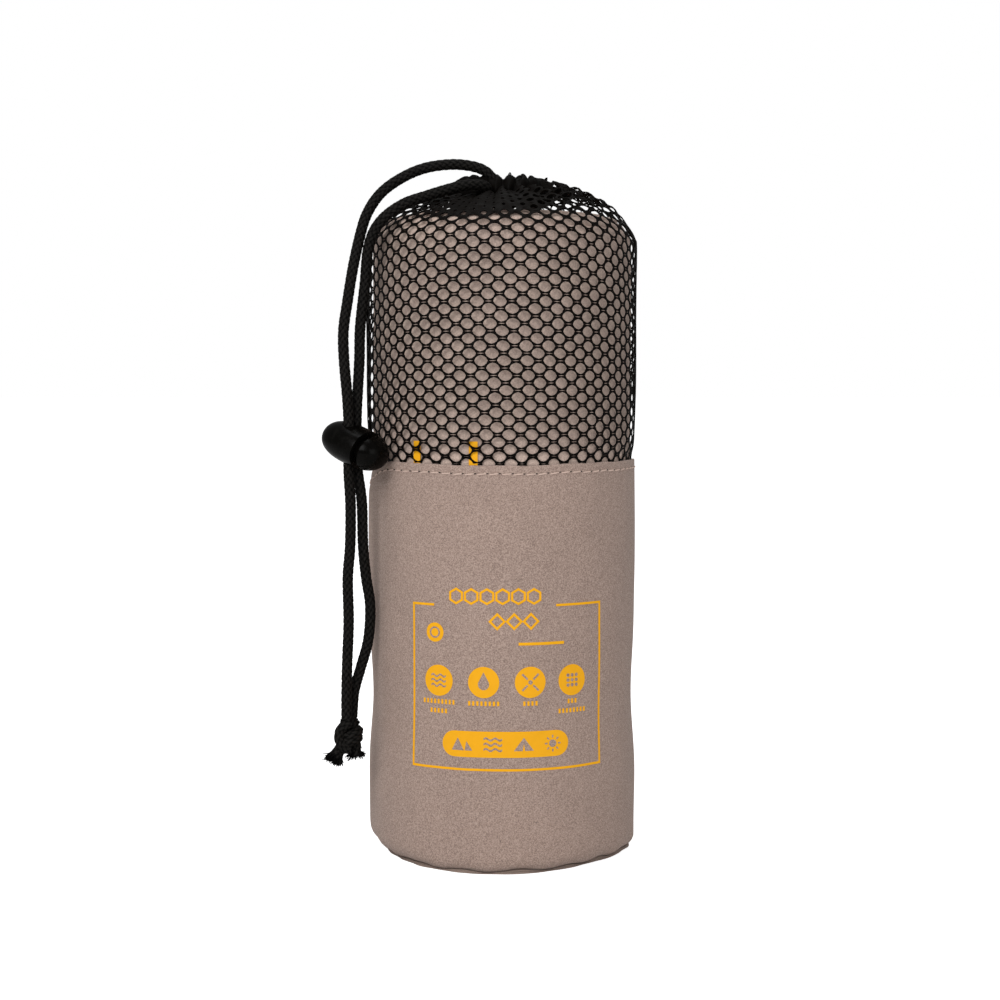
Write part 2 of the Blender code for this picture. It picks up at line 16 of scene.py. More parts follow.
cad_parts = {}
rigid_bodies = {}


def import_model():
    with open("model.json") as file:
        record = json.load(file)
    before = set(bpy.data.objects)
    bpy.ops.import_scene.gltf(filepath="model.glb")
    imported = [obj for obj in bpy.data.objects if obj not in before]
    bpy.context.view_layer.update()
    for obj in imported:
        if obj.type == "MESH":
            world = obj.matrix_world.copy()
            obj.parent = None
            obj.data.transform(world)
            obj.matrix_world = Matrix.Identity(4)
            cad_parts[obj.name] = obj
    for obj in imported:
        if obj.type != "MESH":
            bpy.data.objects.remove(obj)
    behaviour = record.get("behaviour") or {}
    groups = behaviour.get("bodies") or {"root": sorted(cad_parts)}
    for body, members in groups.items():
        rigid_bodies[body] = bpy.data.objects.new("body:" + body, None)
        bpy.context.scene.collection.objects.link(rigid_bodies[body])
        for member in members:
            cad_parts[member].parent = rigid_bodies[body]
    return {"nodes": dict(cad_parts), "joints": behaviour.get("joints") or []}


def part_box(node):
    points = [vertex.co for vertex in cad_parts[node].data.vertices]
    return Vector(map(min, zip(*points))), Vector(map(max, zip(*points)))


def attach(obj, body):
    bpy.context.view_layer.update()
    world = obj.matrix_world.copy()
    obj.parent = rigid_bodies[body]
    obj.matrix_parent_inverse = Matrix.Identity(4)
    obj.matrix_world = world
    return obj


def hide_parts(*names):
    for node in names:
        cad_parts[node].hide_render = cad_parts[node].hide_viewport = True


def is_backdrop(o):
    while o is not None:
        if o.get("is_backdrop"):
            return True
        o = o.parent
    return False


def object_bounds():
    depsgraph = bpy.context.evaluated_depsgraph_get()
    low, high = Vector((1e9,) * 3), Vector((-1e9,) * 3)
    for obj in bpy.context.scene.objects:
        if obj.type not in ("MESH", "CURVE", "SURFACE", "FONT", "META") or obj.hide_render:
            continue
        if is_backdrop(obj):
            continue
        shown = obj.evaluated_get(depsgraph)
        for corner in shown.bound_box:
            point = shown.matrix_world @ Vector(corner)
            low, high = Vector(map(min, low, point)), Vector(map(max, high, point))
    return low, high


bl_info = {
    "name": "Rolled towel in a drawstring bag",
    "version": (1, 0, 0),
    "blender": (4, 5, 0),
    "location": "3D View > Sidebar > Towel",
    "description": "Makes a rolled quick-dry towel, its net and cloth bag, drawcord and cord lock",
    "category": "Add Mesh",
}

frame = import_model()
CAD_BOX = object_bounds()

MM = 0.001
GAP = 0.3 * MM  # free play between parts that move or fit together
TURN = 2 * math.pi  # one whole turn, in radians


def node_span(node, axis):
    """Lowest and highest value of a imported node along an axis, 0 for X to 2 for Z."""
    low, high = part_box(node)
    return low[axis], high[axis]


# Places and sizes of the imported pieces
SLEEVE_RADIUS = node_span("bag_sleeve", 0)[1]
SLEEVE_BOTTOM, SLEEVE_TOP = node_span("bag_sleeve", 2)
BASE_RADIUS = node_span("bag_base", 0)[1]
BASE_TOP = node_span("bag_base", 2)[1]
NET_RADIUS = node_span("mesh_upper", 0)[1]
ROLL_RADIUS = node_span("towel_roll", 0)[1] + 0.8 * MM  # the net lies close round the towel
ROLL_BOTTOM, ROLL_TOP = node_span("towel_roll", 2)
CHANNEL_LOW, CHANNEL_HIGH = node_span("drawcord_channel", 2)
CHANNEL_HEIGHT = (CHANNEL_LOW + CHANNEL_HIGH) / 2
CHANNEL_TUBE = 4.0 * MM
CHANNEL_RING = node_span("drawcord_channel", 0)[1] - CHANNEL_TUBE
STITCH_HEIGHT = sum(node_span("hem_topstitch", 2)) / 2
CORNER_RADIUS = 5.0 * MM

# Where the drawcord presses the net's dome down
DROP_DEPTH = 3.2 * MM
DROP_AZIMUTH = math.radians(234)
DROP_WIDTH = math.radians(55)
DROP_START = 43.6 * MM
DROP_FADE = 12.0 * MM
EYELET_AZIMUTH = math.radians(270)
FOLDS_AZIMUTH = math.radians(267)
LOCK_AZIMUTH = math.radians(209.5)

CORD_DIAMETER = 3.4 * MM
FRONT_TAIL_MM = [
    (0.6, -12.5, 209.0), (-0.6, -12.6, 209.1), (-2.1, -12.8, 211.2), (-4.9, -13.2, 214.3),
    (-9.0, -13.7, 215.9), (-15.6, -14.7, 216.4), (-23.7, -16.3, 215.1), (-30.8, -18.2, 211.9),
    (-37.2, -20.0, 207.0), (-41.4, -21.4, 200.6), (-43.6, -22.6, 193.4), (-45.6, -23.8, 184.0),
    (-47.2, -24.8, 174.0), (-48.5, -25.5, 164.5), (-48.3, -26.0, 155.5), (-47.5, -26.4, 146.4),
    (-47.0, -26.5, 138.5), (-46.9, -26.5, 129.8), (-47.0, -26.5, 121.5), (-46.5, -26.4, 111.0),
    (-46.7, -26.2, 98.6), (-47.5, -26.0, 88.5), (-47.3, -26.0, 75.0), (-47.8, -26.3, 62.0),
    (-48.0, -26.8, 52.0), (-48.0, -27.0, 44.9),
]
REAR_TAIL_MM = [
    (-7.0, -10.5, 209.0), (-6.0, -11.3, 209.0), (-4.7, -12.7, 208.9), (-4.4, -14.3, 208.9),
    (-5.2, -16.6, 209.4), (-7.6, -18.4, 209.8), (-13.0, -20.0, 209.1), (-22.6, -22.0, 206.1),
    (-30.6, -24.6, 202.9), (-37.3, -24.9, 197.6), (-40.8, -23.6, 190.4), (-42.1, -22.6, 178.9),
    (-43.6, -22.2, 166.0), (-43.9, -22.4, 155.7), (-44.4, -23.0, 146.4), (-44.8, -23.4, 138.0),
    (-44.8, -23.4, 129.8), (-44.5, -23.4, 121.5), (-43.3, -23.2, 112.0), (-43.0, -22.6, 98.4),
    (-42.2, -21.6, 88.5), (-41.0, -21.0, 79.5), (-41.6, -21.2, 69.0), (-44.0, -22.2, 60.0),
    (-45.9, -23.0, 53.0), (-46.6, -23.4, 44.9),
]


def joint_axis(name):
    """A joint's axis as a vector."""
    return Vector(next(j for j in frame["joints"] if j["name"] == name)["axis"])


PRESS_AXIS = -joint_axis("button_press").normalized()


def box_centre(*nodes):
    """Middle of the box round some nodes."""
    lows, highs = zip(*(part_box(node) for node in nodes))
    return Vector(
        [(min(p[n] for p in lows) + max(p[n] for p in highs)) / 2 for n in range(3)]
    )


KNOT_CENTRE = box_centre("end_knot")


# Settings


def length_property(name, description, default):
    """A length setting."""
    return FloatProperty(name=name, description=description, default=default, unit="LENGTH")


class TowelSizes(bpy.types.PropertyGroup):
    """Sizes that a maker would change."""

    towel_width: length_property("Towel width", "Width of the towel before it is folded", 0.80)
    towel_length: length_property("Towel length", "Length of the towel before it is rolled", 1.30)
    layer_pitch: length_property("Layer pitch", "Radius that one turn of the folded towel adds", 4.0 * MM)
    net_columns: IntProperty(
        name="Net columns", description="Columns of cells round the net, an even number", default=78
    )
    net_cell: length_property("Net cell height", "Height of one net cell", 4.44 * MM)
    stitch_pitch: length_property("Stitch pitch", "Distance from one hem stitch to the next", 3.7 * MM)
    print_thickness: length_property("Print thickness", "Thickness of the printed ink", 0.06 * MM)


def colour_property(name, description, default):
    """A colour setting."""
    return FloatVectorProperty(
        name=name, description=description, default=default, subtype="COLOR", size=3, min=0, max=1
    )


class TowelColours(bpy.types.PropertyGroup):
    """Colours of the cloths, cords and plastics."""

    sleeve: colour_property("Sleeve", "Suede-like cloth of the sleeve", (0.465, 0.347, 0.292))
    sleeve_fleck: colour_property("Sleeve fleck", "Darker fibres in it", (0.225, 0.158, 0.132))
    towel: colour_property("Towel", "Cloth of the towel", (0.61, 0.472, 0.402))
    towel_fleck: colour_property("Towel fleck", "Darker fibres in it", (0.29, 0.213, 0.178))
    seam: colour_property("Seam", "Folded edges of the base", (0.33, 0.255, 0.215))
    thread: colour_property("Thread", "Stitches on the hem", (0.62, 0.47, 0.40))
    net: colour_property("Net", "Knitted net", (0.0018, 0.0012, 0.0008))
    cord: colour_property("Cord", "Braided drawcord", (0.012, 0.011, 0.010))
    lock: colour_property("Lock", "Moulded cord lock", (0.0018, 0.0016, 0.0013))
    ink: colour_property("Ink", "Screen print", (0.88, 0.41, 0.006))
    steel: colour_property("Steel", "Spring wire", (0.60, 0.60, 0.61))
    needle_hole: colour_property("Needle hole", "Shadow in the hem's holes", (0.055, 0.036, 0.03))
    floor: colour_property("Floor", "Floor and backdrop", (0.80, 0.80, 0.80))


def sizes():
    """The size settings in use."""
    return bpy.context.scene.towel_sizes


def colours():
    """The colour settings in use."""
    return bpy.context.scene.towel_colours


# Working with objects


def select_only(*items):
    """Deselect everything, then select these and make the first active."""
    for other in bpy.data.objects:
        other.select_set(False)
    for item in items:
        item.select_set(True)
    if items:
        bpy.context.view_layer.objects.active = items[0]


def apply_modifiers(item):
    """Apply every modifier of an object, first to last."""
    select_only(item)
    for change in list(item.modifiers):
        bpy.ops.object.modifier_apply(modifier=change.name)


def settle(item):
    """Put an object's place, turn and size into its mesh."""
    select_only(item)
    bpy.ops.object.transform_apply(location=True, rotation=True, scale=True)


def edit_whole(item):
    """Go into edit mode with all of an object selected."""
    select_only(item)
    bpy.ops.object.mode_set(mode="EDIT")
    bpy.ops.mesh.select_all(action="SELECT")


def join(*items):
    """Join objects into the first of them."""
    select_only(*items)
    bpy.ops.object.join()


def add_wall(item, thickness, offset):
    """Give a surface a thickness: offset is -1 for inwards, 1 for outwards and 0 for both."""
    wall = item.modifiers.new("wall", "SOLIDIFY")
    wall.thickness = thickness
    wall.offset = offset


def add_bevel(item, width, segments, angle):
    """Round the edges that turn by more than an angle in degrees."""
    edge = item.modifiers.new("edge", "BEVEL")
    edge.width = width
    edge.segments = segments
    edge.limit_method = "ANGLE"
    edge.angle_limit = math.radians(angle)


def face_outwards(item):
    """Merge doubles and point every face outwards."""
    edit_whole(item)
    bpy.ops.mesh.remove_doubles(threshold=1e-6)
    bpy.ops.mesh.normals_make_consistent(inside=False)
    bpy.ops.object.mode_set(mode="OBJECT")


def finish_piece(item, name, body, slot, material, *nodes, sharp=50):
    """Name, shade and dress a piece, hang it on the body it rides on, and hide the nodes it stands for."""
    item.name = name
    item.data.name = name
    item.data.materials.clear()
    item.data.materials.append(material)
    select_only(item)
    if item.type == "MESH":
        bpy.ops.object.shade_smooth_by_angle(angle=math.radians(sharp))
    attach(item, body)
    if nodes:
        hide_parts(*nodes)
    return item


def mesh_object(name, points, faces, uvs=None):
    """A new object from points and faces, with a UV pair for each point where given."""
    mesh = bpy.data.meshes.new(name)
    mesh.from_pydata([tuple(p) for p in points], [], faces)
    if uvs is not None:
        layer = mesh.uv_layers.new(name="UVMap")
        flat = [value for loop in mesh.loops for value in uvs[loop.vertex_index]]
        layer.data.foreach_set("uv", flat)
    item = bpy.data.objects.new(name, mesh)
    bpy.context.collection.objects.link(item)
    return item


def smooth_step(share):
    """0 below 0, 1 above 1, and an even curve between."""
    share = min(max(share, 0.0), 1.0)
    return share * share * (3 - 2 * share)


def bump_at(value, middle, width):
    """A bell that is 1 at the middle and fades over the width."""
    return math.exp(-(((value - middle) / width) ** 2))


def bump_round(azimuth, middle, width):
    """The same bell round the bag, by azimuth."""
    return bump_at(math.remainder(azimuth - middle, TURN), 0, width)


def ring_place(radius, azimuth, height):
    """A point from its radius, azimuth and height."""
    return Vector((radius * math.cos(azimuth), radius * math.sin(azimuth), height))


def ring_noise(fineness, azimuth, level):
    """Noise from -1 to 1 that closes on itself round the bag."""
    return noise.noise(ring_place(fineness, azimuth, level))


def smooth_route(route, step):
    """Points along a smooth curve through a route, about a step apart."""
    route = [Vector(p) for p in route]
    route = [2 * route[0] - route[1], *route, 2 * route[-1] - route[-2]]
    points = []
    for n in range(1, len(route) - 2):
        p0, p1, p2, p3 = route[n - 1 : n + 3]
        parts = max(1, round((p2 - p1).length / step))
        for k in range(parts):
            t = k / parts
            square, cube = 2 * p0 - 5 * p1 + 4 * p2 - p3, 3 * p1 - p0 - 3 * p2 + p3
            points.append(0.5 * (2 * p1 + (p2 - p0) * t + square * t**2 + cube * t**3))
    points.append(route[-2])
    return points


def path_length(points):
    """Length along a list of points."""
    return sum((b - a).length for a, b in zip(points, points[1:]))


def frames_along(points):
    """A pair of vectors across the path at each of its points, turned as little as possible."""
    last = len(points) - 1
    ahead, behind = [*points[1:], points[last]], [points[0], *points[:last]]
    tangents = [(b - a).normalized() for a, b in zip(behind, ahead)]
    side = tangents[0].orthogonal().normalized()
    frames = []
    for tangent in tangents:
        side = (side - tangent * side.dot(tangent)).normalized()
        frames.append((side, tangent.cross(side)))
    return frames


def ring_faces(rings, count, closed=False):
    """Faces between closed rings of count points each, and from the last to the first where closed."""
    faces = []
    for low in range(rings if closed else rings - 1):
        a, b = low * count, (low + 1) % rings * count
        for n in range(count):
            m = (n + 1) % count
            faces.append((a + n, a + m, b + m, b + n))
    return faces


def skin(rings):
    """Points and faces over closed rings of points, with both ends capped."""
    count = len(rings[0])
    points = [p for ring in rings for p in ring]
    faces = ring_faces(len(rings), count)
    faces.append(tuple(range(count - 1, -1, -1)))
    faces.append(tuple(range((len(rings) - 1) * count, len(rings) * count)))
    return points, faces


def thread_faces(path, radius_at, sides):
    """Points and faces of a thin tube along a path."""
    rings = []
    for n, (point, (side, up)) in enumerate(zip(path, frames_along(path))):
        radius = radius_at(n / (len(path) - 1))
        turns = [TURN * k / sides for k in range(sides)]
        rings.append([point + radius * (math.cos(a) * side + math.sin(a) * up) for a in turns])
    return skin(rings)


def many_threads(name, paths, radius_at, sides=5):
    """One object of many thin tubes."""
    points, faces = [], []
    for path in paths:
        more_points, more_faces = thread_faces(path, radius_at, sides)
        start = len(points)
        points += more_points
        faces += [tuple(start + n for n in face) for face in more_faces]
    return mesh_object(name, points, faces)


# Shader groups


def group_tree(name, inputs, outputs):
    """A shader group with its inputs, given as (name, kind, default), and its outputs."""
    tree = bpy.data.node_groups.new(name, "ShaderNodeTree")
    for label, kind, default in inputs:
        socket = tree.interface.new_socket(label, in_out="INPUT", socket_type=kind)
        socket.default_value = default
    for label, kind in outputs:
        tree.interface.new_socket(label, in_out="OUTPUT", socket_type=kind)
    return tree, tree.nodes.new("NodeGroupInput").outputs, tree.nodes.new("NodeGroupOutput").inputs


FLOAT, COLOUR = "NodeSocketFloat", "NodeSocketColor"


def add_node(tree, kind, **values):
    """Add a shader node and set its properties."""
    node = tree.nodes.new(kind)
    for key, value in values.items():
        setattr(node, key, value)
    return node


def feed(tree, socket, value):
    """Link a socket to an input, or set the input to a number or a colour."""
    if isinstance(value, (int, float)):
        socket.default_value = value
    elif isinstance(value, tuple):
        socket.default_value = (*value, 1.0)
    else:
        tree.links.new(value, socket)


def math_node(tree, operation, first, second):
    """A math node whose inputs are sockets or numbers."""
    node = add_node(tree, "ShaderNodeMath", operation=operation)
    feed(tree, node.inputs[0], first)
    feed(tree, node.inputs[1], second)
    return node.outputs[0]


def times(tree, first, second):
    """The product of two sockets or numbers."""
    return math_node(tree, "MULTIPLY", first, second)


def plus(tree, first, second):
    """The sum of two sockets or numbers."""
    return math_node(tree, "ADD", first, second)


def object_place(tree):
    """Texture places that stay with the object."""
    return add_node(tree, "ShaderNodeTexCoord").outputs["Object"]


def noise_node(tree, vector, scale, detail=2.0, roughness=0.5):
    """A noise texture. scale is a socket or a number of cells in a metre."""
    node = add_node(tree, "ShaderNodeTexNoise")
    node.inputs["Detail"].default_value = detail
    node.inputs["Roughness"].default_value = roughness
    tree.links.new(vector, node.inputs["Vector"])
    feed(tree, node.inputs["Scale"], scale)
    return node.outputs["Fac"]


def range_node(tree, value, low, high, to_low=0.0, to_high=1.0):
    """A smooth map of a value from one range to another."""
    node = add_node(tree, "ShaderNodeMapRange", interpolation_type="SMOOTHSTEP")
    tree.links.new(value, node.inputs["Value"])
    for label, number in (("From Min", low), ("From Max", high), ("To Min", to_low), ("To Max", to_high)):
        node.inputs[label].default_value = number
    return node.outputs["Result"]


def mix_node(tree, factor, first, second):
    """A colour mix whose inputs are sockets or colours."""
    node = add_node(tree, "ShaderNodeMix", data_type="RGBA")
    for place, value in ((0, factor), (6, first), (7, second)):  # the inputs that a colour mix uses
        feed(tree, node.inputs[place], value)
    return node.outputs[2]


def build_nap_group():
    """Suede-like microfibre: flecked and mottled colour, and a fine nap."""
    tree, given, out = group_tree(
        "Flecked nap",
        [
            ("Cloth Colour", COLOUR, (0.4, 0.3, 0.25, 1)),
            ("Fleck Colour", COLOUR, (0.2, 0.15, 0.12, 1)),
            ("Fleck Scale", FLOAT, 1500.0),
            ("Fleck Strength", FLOAT, 0.5),
            ("Mottle Scale", FLOAT, 55.0),
            ("Mottle Strength", FLOAT, 0.12),
        ],
        [("Colour", COLOUR), ("Roughness", FLOAT), ("Height", FLOAT)],
    )
    place = object_place(tree)
    fleck = noise_node(tree, place, given["Fleck Scale"], 3.0, 0.65)
    coarse_scale = times(tree, given["Fleck Scale"], 0.6)
    coarse = noise_node(tree, place, coarse_scale, 2.0, 0.5)
    mottle = noise_node(tree, place, given["Mottle Scale"], 4.0, 0.6)
    both = plus(tree, times(tree, fleck, 0.72), times(tree, coarse, 0.28))
    amount = times(tree, range_node(tree, both, 0.40, 0.60, 1.0, 0.0), given["Fleck Strength"])
    cloth = mix_node(tree, amount, given["Cloth Colour"], given["Fleck Colour"])
    shade = math_node(tree, "SUBTRACT", mottle, 0.5)
    shade = times(tree, shade, given["Mottle Strength"])
    shade = plus(tree, times(tree, shade, 2.0), 1.0)
    tone = add_node(tree, "ShaderNodeHueSaturation")
    tree.links.new(cloth, tone.inputs["Color"])
    tree.links.new(shade, tone.inputs["Value"])
    dots = add_node(tree, "ShaderNodeTexVoronoi")
    dots.inputs["Scale"].default_value = 190.0
    tree.links.new(place, dots.inputs["Vector"])
    near = range_node(tree, dots.outputs["Distance"], 0.03, 0.09, 1.0, 0.0)
    split = add_node(tree, "ShaderNodeSeparateColor")
    tree.links.new(dots.outputs["Color"], split.inputs["Color"])
    rare = range_node(tree, split.outputs[0], 0.90, 0.93, 0.0, 1.0)
    speck = times(tree, times(tree, near, rare), 0.75)
    colour = mix_node(tree, speck, tone.outputs["Color"], (0.03, 0.02, 0.018))
    tree.links.new(colour, out["Colour"])
    tree.links.new(range_node(tree, mottle, 0.3, 0.7, 0.84, 0.96), out["Roughness"])
    tree.links.new(both, out["Height"])
    return tree


def build_fibre_group():
    """Fine threads that run along a piece, from its UV map, in two leaning directions, with dust patches and
    a painted highlight on the raised threads.
    """
    tree, given, out = group_tree(
        "Leaning fibres",
        [
            ("Yarn Colour", COLOUR, (0.02, 0.02, 0.02, 1)),
            ("Worn Colour", COLOUR, (0.06, 0.055, 0.05, 1)),
            ("Fibre Scale", FLOAT, 1.0),
            ("Dust", FLOAT, 0.15),
        ],
        [("Colour", COLOUR), ("Roughness", FLOAT), ("Height", FLOAT)],
    )
    uv = add_node(tree, "ShaderNodeTexCoord").outputs["UV"]
    place = object_place(tree)
    wave = add_node(tree, "ShaderNodeTexWave", wave_type="BANDS", bands_direction="DIAGONAL")
    wave.inputs["Distortion"].default_value = 1.5
    wave.inputs["Detail"].default_value = 1.0
    tree.links.new(uv, wave.inputs["Vector"])
    tree.links.new(given["Fibre Scale"], wave.inputs["Scale"])
    patches = noise_node(tree, place, 420.0, 3.0, 0.6)
    worn = times(tree, range_node(tree, patches, 0.48, 0.72), given["Dust"])
    colour = mix_node(tree, worn, given["Yarn Colour"], given["Worn Colour"])
    # painted highlight: the raised threads are mixed towards the lighter colour
    painted_highlight = times(tree, wave.outputs["Fac"], 0.25)
    colour = mix_node(tree, painted_highlight, colour, given["Worn Colour"])
    tree.links.new(colour, out["Colour"])
    tree.links.new(range_node(tree, patches, 0.3, 0.7, 0.5, 0.72), out["Roughness"])
    tree.links.new(wave.outputs["Fac"], out["Height"])
    return tree


def build_grain_group():
    """Moulded plastic or metal: a faint grain, and wear that dulls it in patches."""
    tree, given, out = group_tree(
        "Moulded grain",
        [
            ("Base Colour", COLOUR, (0.02, 0.02, 0.02, 1)),
            ("Scuff Colour", COLOUR, (0.06, 0.06, 0.06, 1)),
            ("Grain Scale", FLOAT, 2500.0),
            ("Smooth", FLOAT, 0.25),
            ("Scuffed", FLOAT, 0.4),
        ],
        [("Colour", COLOUR), ("Roughness", FLOAT), ("Height", FLOAT)],
    )
    place = object_place(tree)
    grain = noise_node(tree, place, given["Grain Scale"], 2.0, 0.5)
    patches = noise_node(tree, place, 260.0, 4.0, 0.62)
    worn = range_node(tree, patches, 0.45, 0.72)
    scuff = times(tree, worn, 0.35)
    colour = mix_node(tree, scuff, given["Base Colour"], given["Scuff Colour"])
    spread = math_node(tree, "SUBTRACT", given["Scuffed"], given["Smooth"])
    rough = plus(tree, times(tree, spread, worn), given["Smooth"])
    tree.links.new(colour, out["Colour"])
    tree.links.new(rough, out["Roughness"])
    tree.links.new(grain, out["Height"])
    return tree


GROUP_MAKERS = {
    "Flecked nap": build_nap_group,
    "Leaning fibres": build_fibre_group,
    "Moulded grain": build_grain_group,
}


def shader_group(name):
    """A shader group, built the first time it is asked for."""
    return bpy.data.node_groups.get(name) or GROUP_MAKERS[name]()


def material_from(name, group, values, bump, bump_distance, **fixed):
    """A Principled material driven by one shader group. fixed are the shader's own plain values."""
    material = bpy.data.materials.new(name)
    material.use_nodes = True
    tree = material.node_tree
    shader = tree.nodes["Principled BSDF"]
    source = add_node(tree, "ShaderNodeGroup", node_tree=shader_group(group))
    for label, value in values.items():
        source.inputs[label].default_value = (*value, 1.0) if hasattr(value, "__len__") else value
    tree.links.new(source.outputs["Colour"], shader.inputs["Base Color"])
    tree.links.new(source.outputs["Roughness"], shader.inputs["Roughness"])
    relief = add_node(tree, "ShaderNodeBump")
    relief.inputs["Strength"].default_value = bump
    relief.inputs["Distance"].default_value = bump_distance
    tree.links.new(source.outputs["Height"], relief.inputs["Height"])
    tree.links.new(relief.outputs["Normal"], shader.inputs["Normal"])
    for label, value in fixed.items():
        socket = shader.inputs[label.replace("_", " ")]
        socket.default_value = (*value, 1.0) if hasattr(value, "__len__") else value
    return material


def nap_material(name, cloth, fleck, fleck_scale=3200.0, strength=0.9, mottle=0.08):
    """Suede-like cloth."""
    values = {
        "Cloth Colour": cloth,
        "Fleck Colour": fleck,
        "Fleck Scale": fleck_scale,
        "Fleck Strength": strength,
        "Mottle Strength": mottle,
    }
    sheen = {"Sheen_Weight": 0.12, "Sheen_Roughness": 0.5}
    return material_from(name, "Flecked nap", values, 0.9, 0.25 * MM, Specular_IOR_Level=0.15, **sheen)


def yarn_material(name, yarn, worn, dust=0.3, fibre_scale=1.0):
    """Black knitted or braided yarn."""
    # worn is the colour of the dust patches and also of the painted highlight on the raised threads
    values = {"Yarn Colour": yarn, "Worn Colour": worn, "Dust": dust, "Fibre Scale": fibre_scale}
    return material_from(name, "Leaning fibres", values, 0.3, 0.1 * MM, Specular_IOR_Level=0.05)


def grain_material(name, base, scuff, smooth, scuffed, metallic=0.0, specular=0.5):
    """Moulded plastic, or drawn wire."""
    values = {"Base Colour": base, "Scuff Colour": scuff, "Smooth": smooth, "Scuffed": scuffed}
    return material_from(
        name, "Moulded grain", values, 0.08, 0.05 * MM, Metallic=metallic, Specular_IOR_Level=specular
    )


def shared_material(name, maker, *args, **options):
    """A material that several pieces use, made once."""
    return bpy.data.materials.get(name) or maker(name, *args, **options)


def net_yarn():
    """Material of everything knitted in black."""
    # the second colour is for the dust patches and the painted highlight on the raised threads
    return shared_material("net_yarn", yarn_material, colours().net, (0.006, 0.004, 0.003), fibre_scale=900.0)


def sewing_thread():
    """Material of the pale stitches."""
    # worn is the colour of the dust patches and also of the painted highlight on the raised threads
    looks = {"worn": (0.74, 0.59, 0.51), "dust": 0.4, "fibre_scale": 900.0}
    return shared_material("sewing_thread", yarn_material, colours().thread, **looks)


# Stage

LIGHTS = (  # name, place, size, power in watts
    ("key", (-0.55, -1.1, 0.95), 0.8, 12.5),
    ("fill", (0.75, -1.2, 0.45), 0.8, 3.6),
    ("top", (0.05, 0.1, 1.3), 0.7, 4.5),
)
LIGHT_AIM = Vector((0, 0, 0.11))
CAMERA_DISTANCE = 0.575
CAMERA_HEIGHT = 0.1449
CAMERA_AIM = Vector((-0.0006, 0, 0.1112))
VIEW_WIDTH = 0.3215  # how much the camera sees at the bag's distance
SENSOR_WIDTH = 36


class TOWEL_OT_stage(bpy.types.Operator):
    """Add the floor, the soft studio light and the camera"""

    bl_idname = "towel.stage"
    bl_label = "Stage"

    def execute(self, context):
        select_only()
        bpy.ops.mesh.primitive_circle_add(vertices=128, radius=90.0, fill_type="NGON")
        floor = context.object
        floor.name = "floor"
        material = bpy.data.materials.new("floor_paper")
        material.use_nodes = True
        tree = material.node_tree
        shader = tree.nodes["Principled BSDF"]
        patches = noise_node(tree, object_place(tree), 3.0)
        shade = tuple(colours().floor)
        tint = mix_node(tree, patches, shade, tuple(c * 1.02 for c in shade))
        tree.links.new(tint, shader.inputs["Base Color"])
        shader.inputs["Roughness"].default_value = 0.9
        shader.inputs["Specular IOR Level"].default_value = 0.0
        shader.inputs["Emission Color"].default_value = (1, 1, 1, 1)
        seen = add_node(tree, "ShaderNodeLightPath").outputs["Is Camera Ray"]
        tree.links.new(range_node(tree, seen, 0.0, 1.0, 0.0, 0.86), shader.inputs["Emission Strength"])
        floor.data.materials.append(material)
        floor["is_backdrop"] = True
        for light in LIGHTS:
            self.add_light(*light)
        self.light_world(context)
        self.add_camera(context)
        context.scene.view_settings.view_transform = "Standard"
        return {"FINISHED"}

    def add_light(self, name, place, size, power):
        """A square soft light that faces the bag."""
        bpy.ops.object.light_add(type="AREA", location=place)
        light = bpy.context.object
        light.name = name
        light.data.size = size
        light.data.energy = power
        light.rotation_euler = (LIGHT_AIM - light.location).to_track_quat("-Z", "Y").to_euler()

    def light_world(self, context):
        """A white room: bright where it is seen, and dimmer as a light."""
        world = context.scene.world or bpy.data.worlds.new("room")
        context.scene.world = world
        world.use_nodes = True
        tree = world.node_tree
        glow = tree.nodes["Background"]
        glow.inputs["Color"].default_value = (1, 1, 1, 1)
        seen = add_node(tree, "ShaderNodeLightPath").outputs["Is Camera Ray"]
        tree.links.new(range_node(tree, seen, 0.0, 1.0, 0.33, 1.0), glow.inputs["Strength"])

    def add_camera(self, context):
        """A camera in front of the bag, a little above its middle."""
        data = bpy.data.cameras.new("camera")
        camera = bpy.data.objects.new("camera", data)
        context.collection.objects.link(camera)
        camera.location = (0, -CAMERA_DISTANCE, CAMERA_HEIGHT)
        camera.rotation_euler = (CAMERA_AIM - camera.location).to_track_quat("-Z", "Y").to_euler()
        data.sensor_width = SENSOR_WIDTH
        data.lens = SENSOR_WIDTH * CAMERA_DISTANCE / VIEW_WIDTH
        context.scene.camera = camera


# Towel

ROLL_TURNS = 9
CLIMB_SHARE = 0.22  # part of each turn in which the cloth climbs onto the turn below
CLIMB_START = math.radians(50)
ROLL_TOP_FILLET = 9.0 * MM
ROLL_BOTTOM_FILLET = 6.0 * MM
LAYERS = 4
FOLD_ROWS = 7
TOWEL_THICKNESS = 0.75 * MM


def roll_edges(radius):
    """Lowest and highest point of the roll at a radius."""
    low, high = ROLL_BOTTOM, ROLL_TOP
    past = radius - (ROLL_RADIUS - ROLL_TOP_FILLET)
    if past > 0:
        high -= ROLL_TOP_FILLET - math.sqrt(max(ROLL_TOP_FILLET**2 - past**2, 0.0))
    past = radius - (ROLL_RADIUS - ROLL_BOTTOM_FILLET)
    if past > 0:
        low += ROLL_BOTTOM_FILLET - math.sqrt(max(ROLL_BOTTOM_FILLET**2 - past**2, 0.0))
    return low, high


def roll_radius(turns):
    """Radius of the folded towel's middle after some turns."""
    whole = math.floor(turns)
    climb = smooth_step((turns - whole - (1 - CLIMB_SHARE)) / CLIMB_SHARE)
    pitch = sizes().layer_pitch
    outermost = ROLL_RADIUS - pitch / 2 - 0.05 * MM
    return outermost + pitch * (whole + climb - ROLL_TURNS)


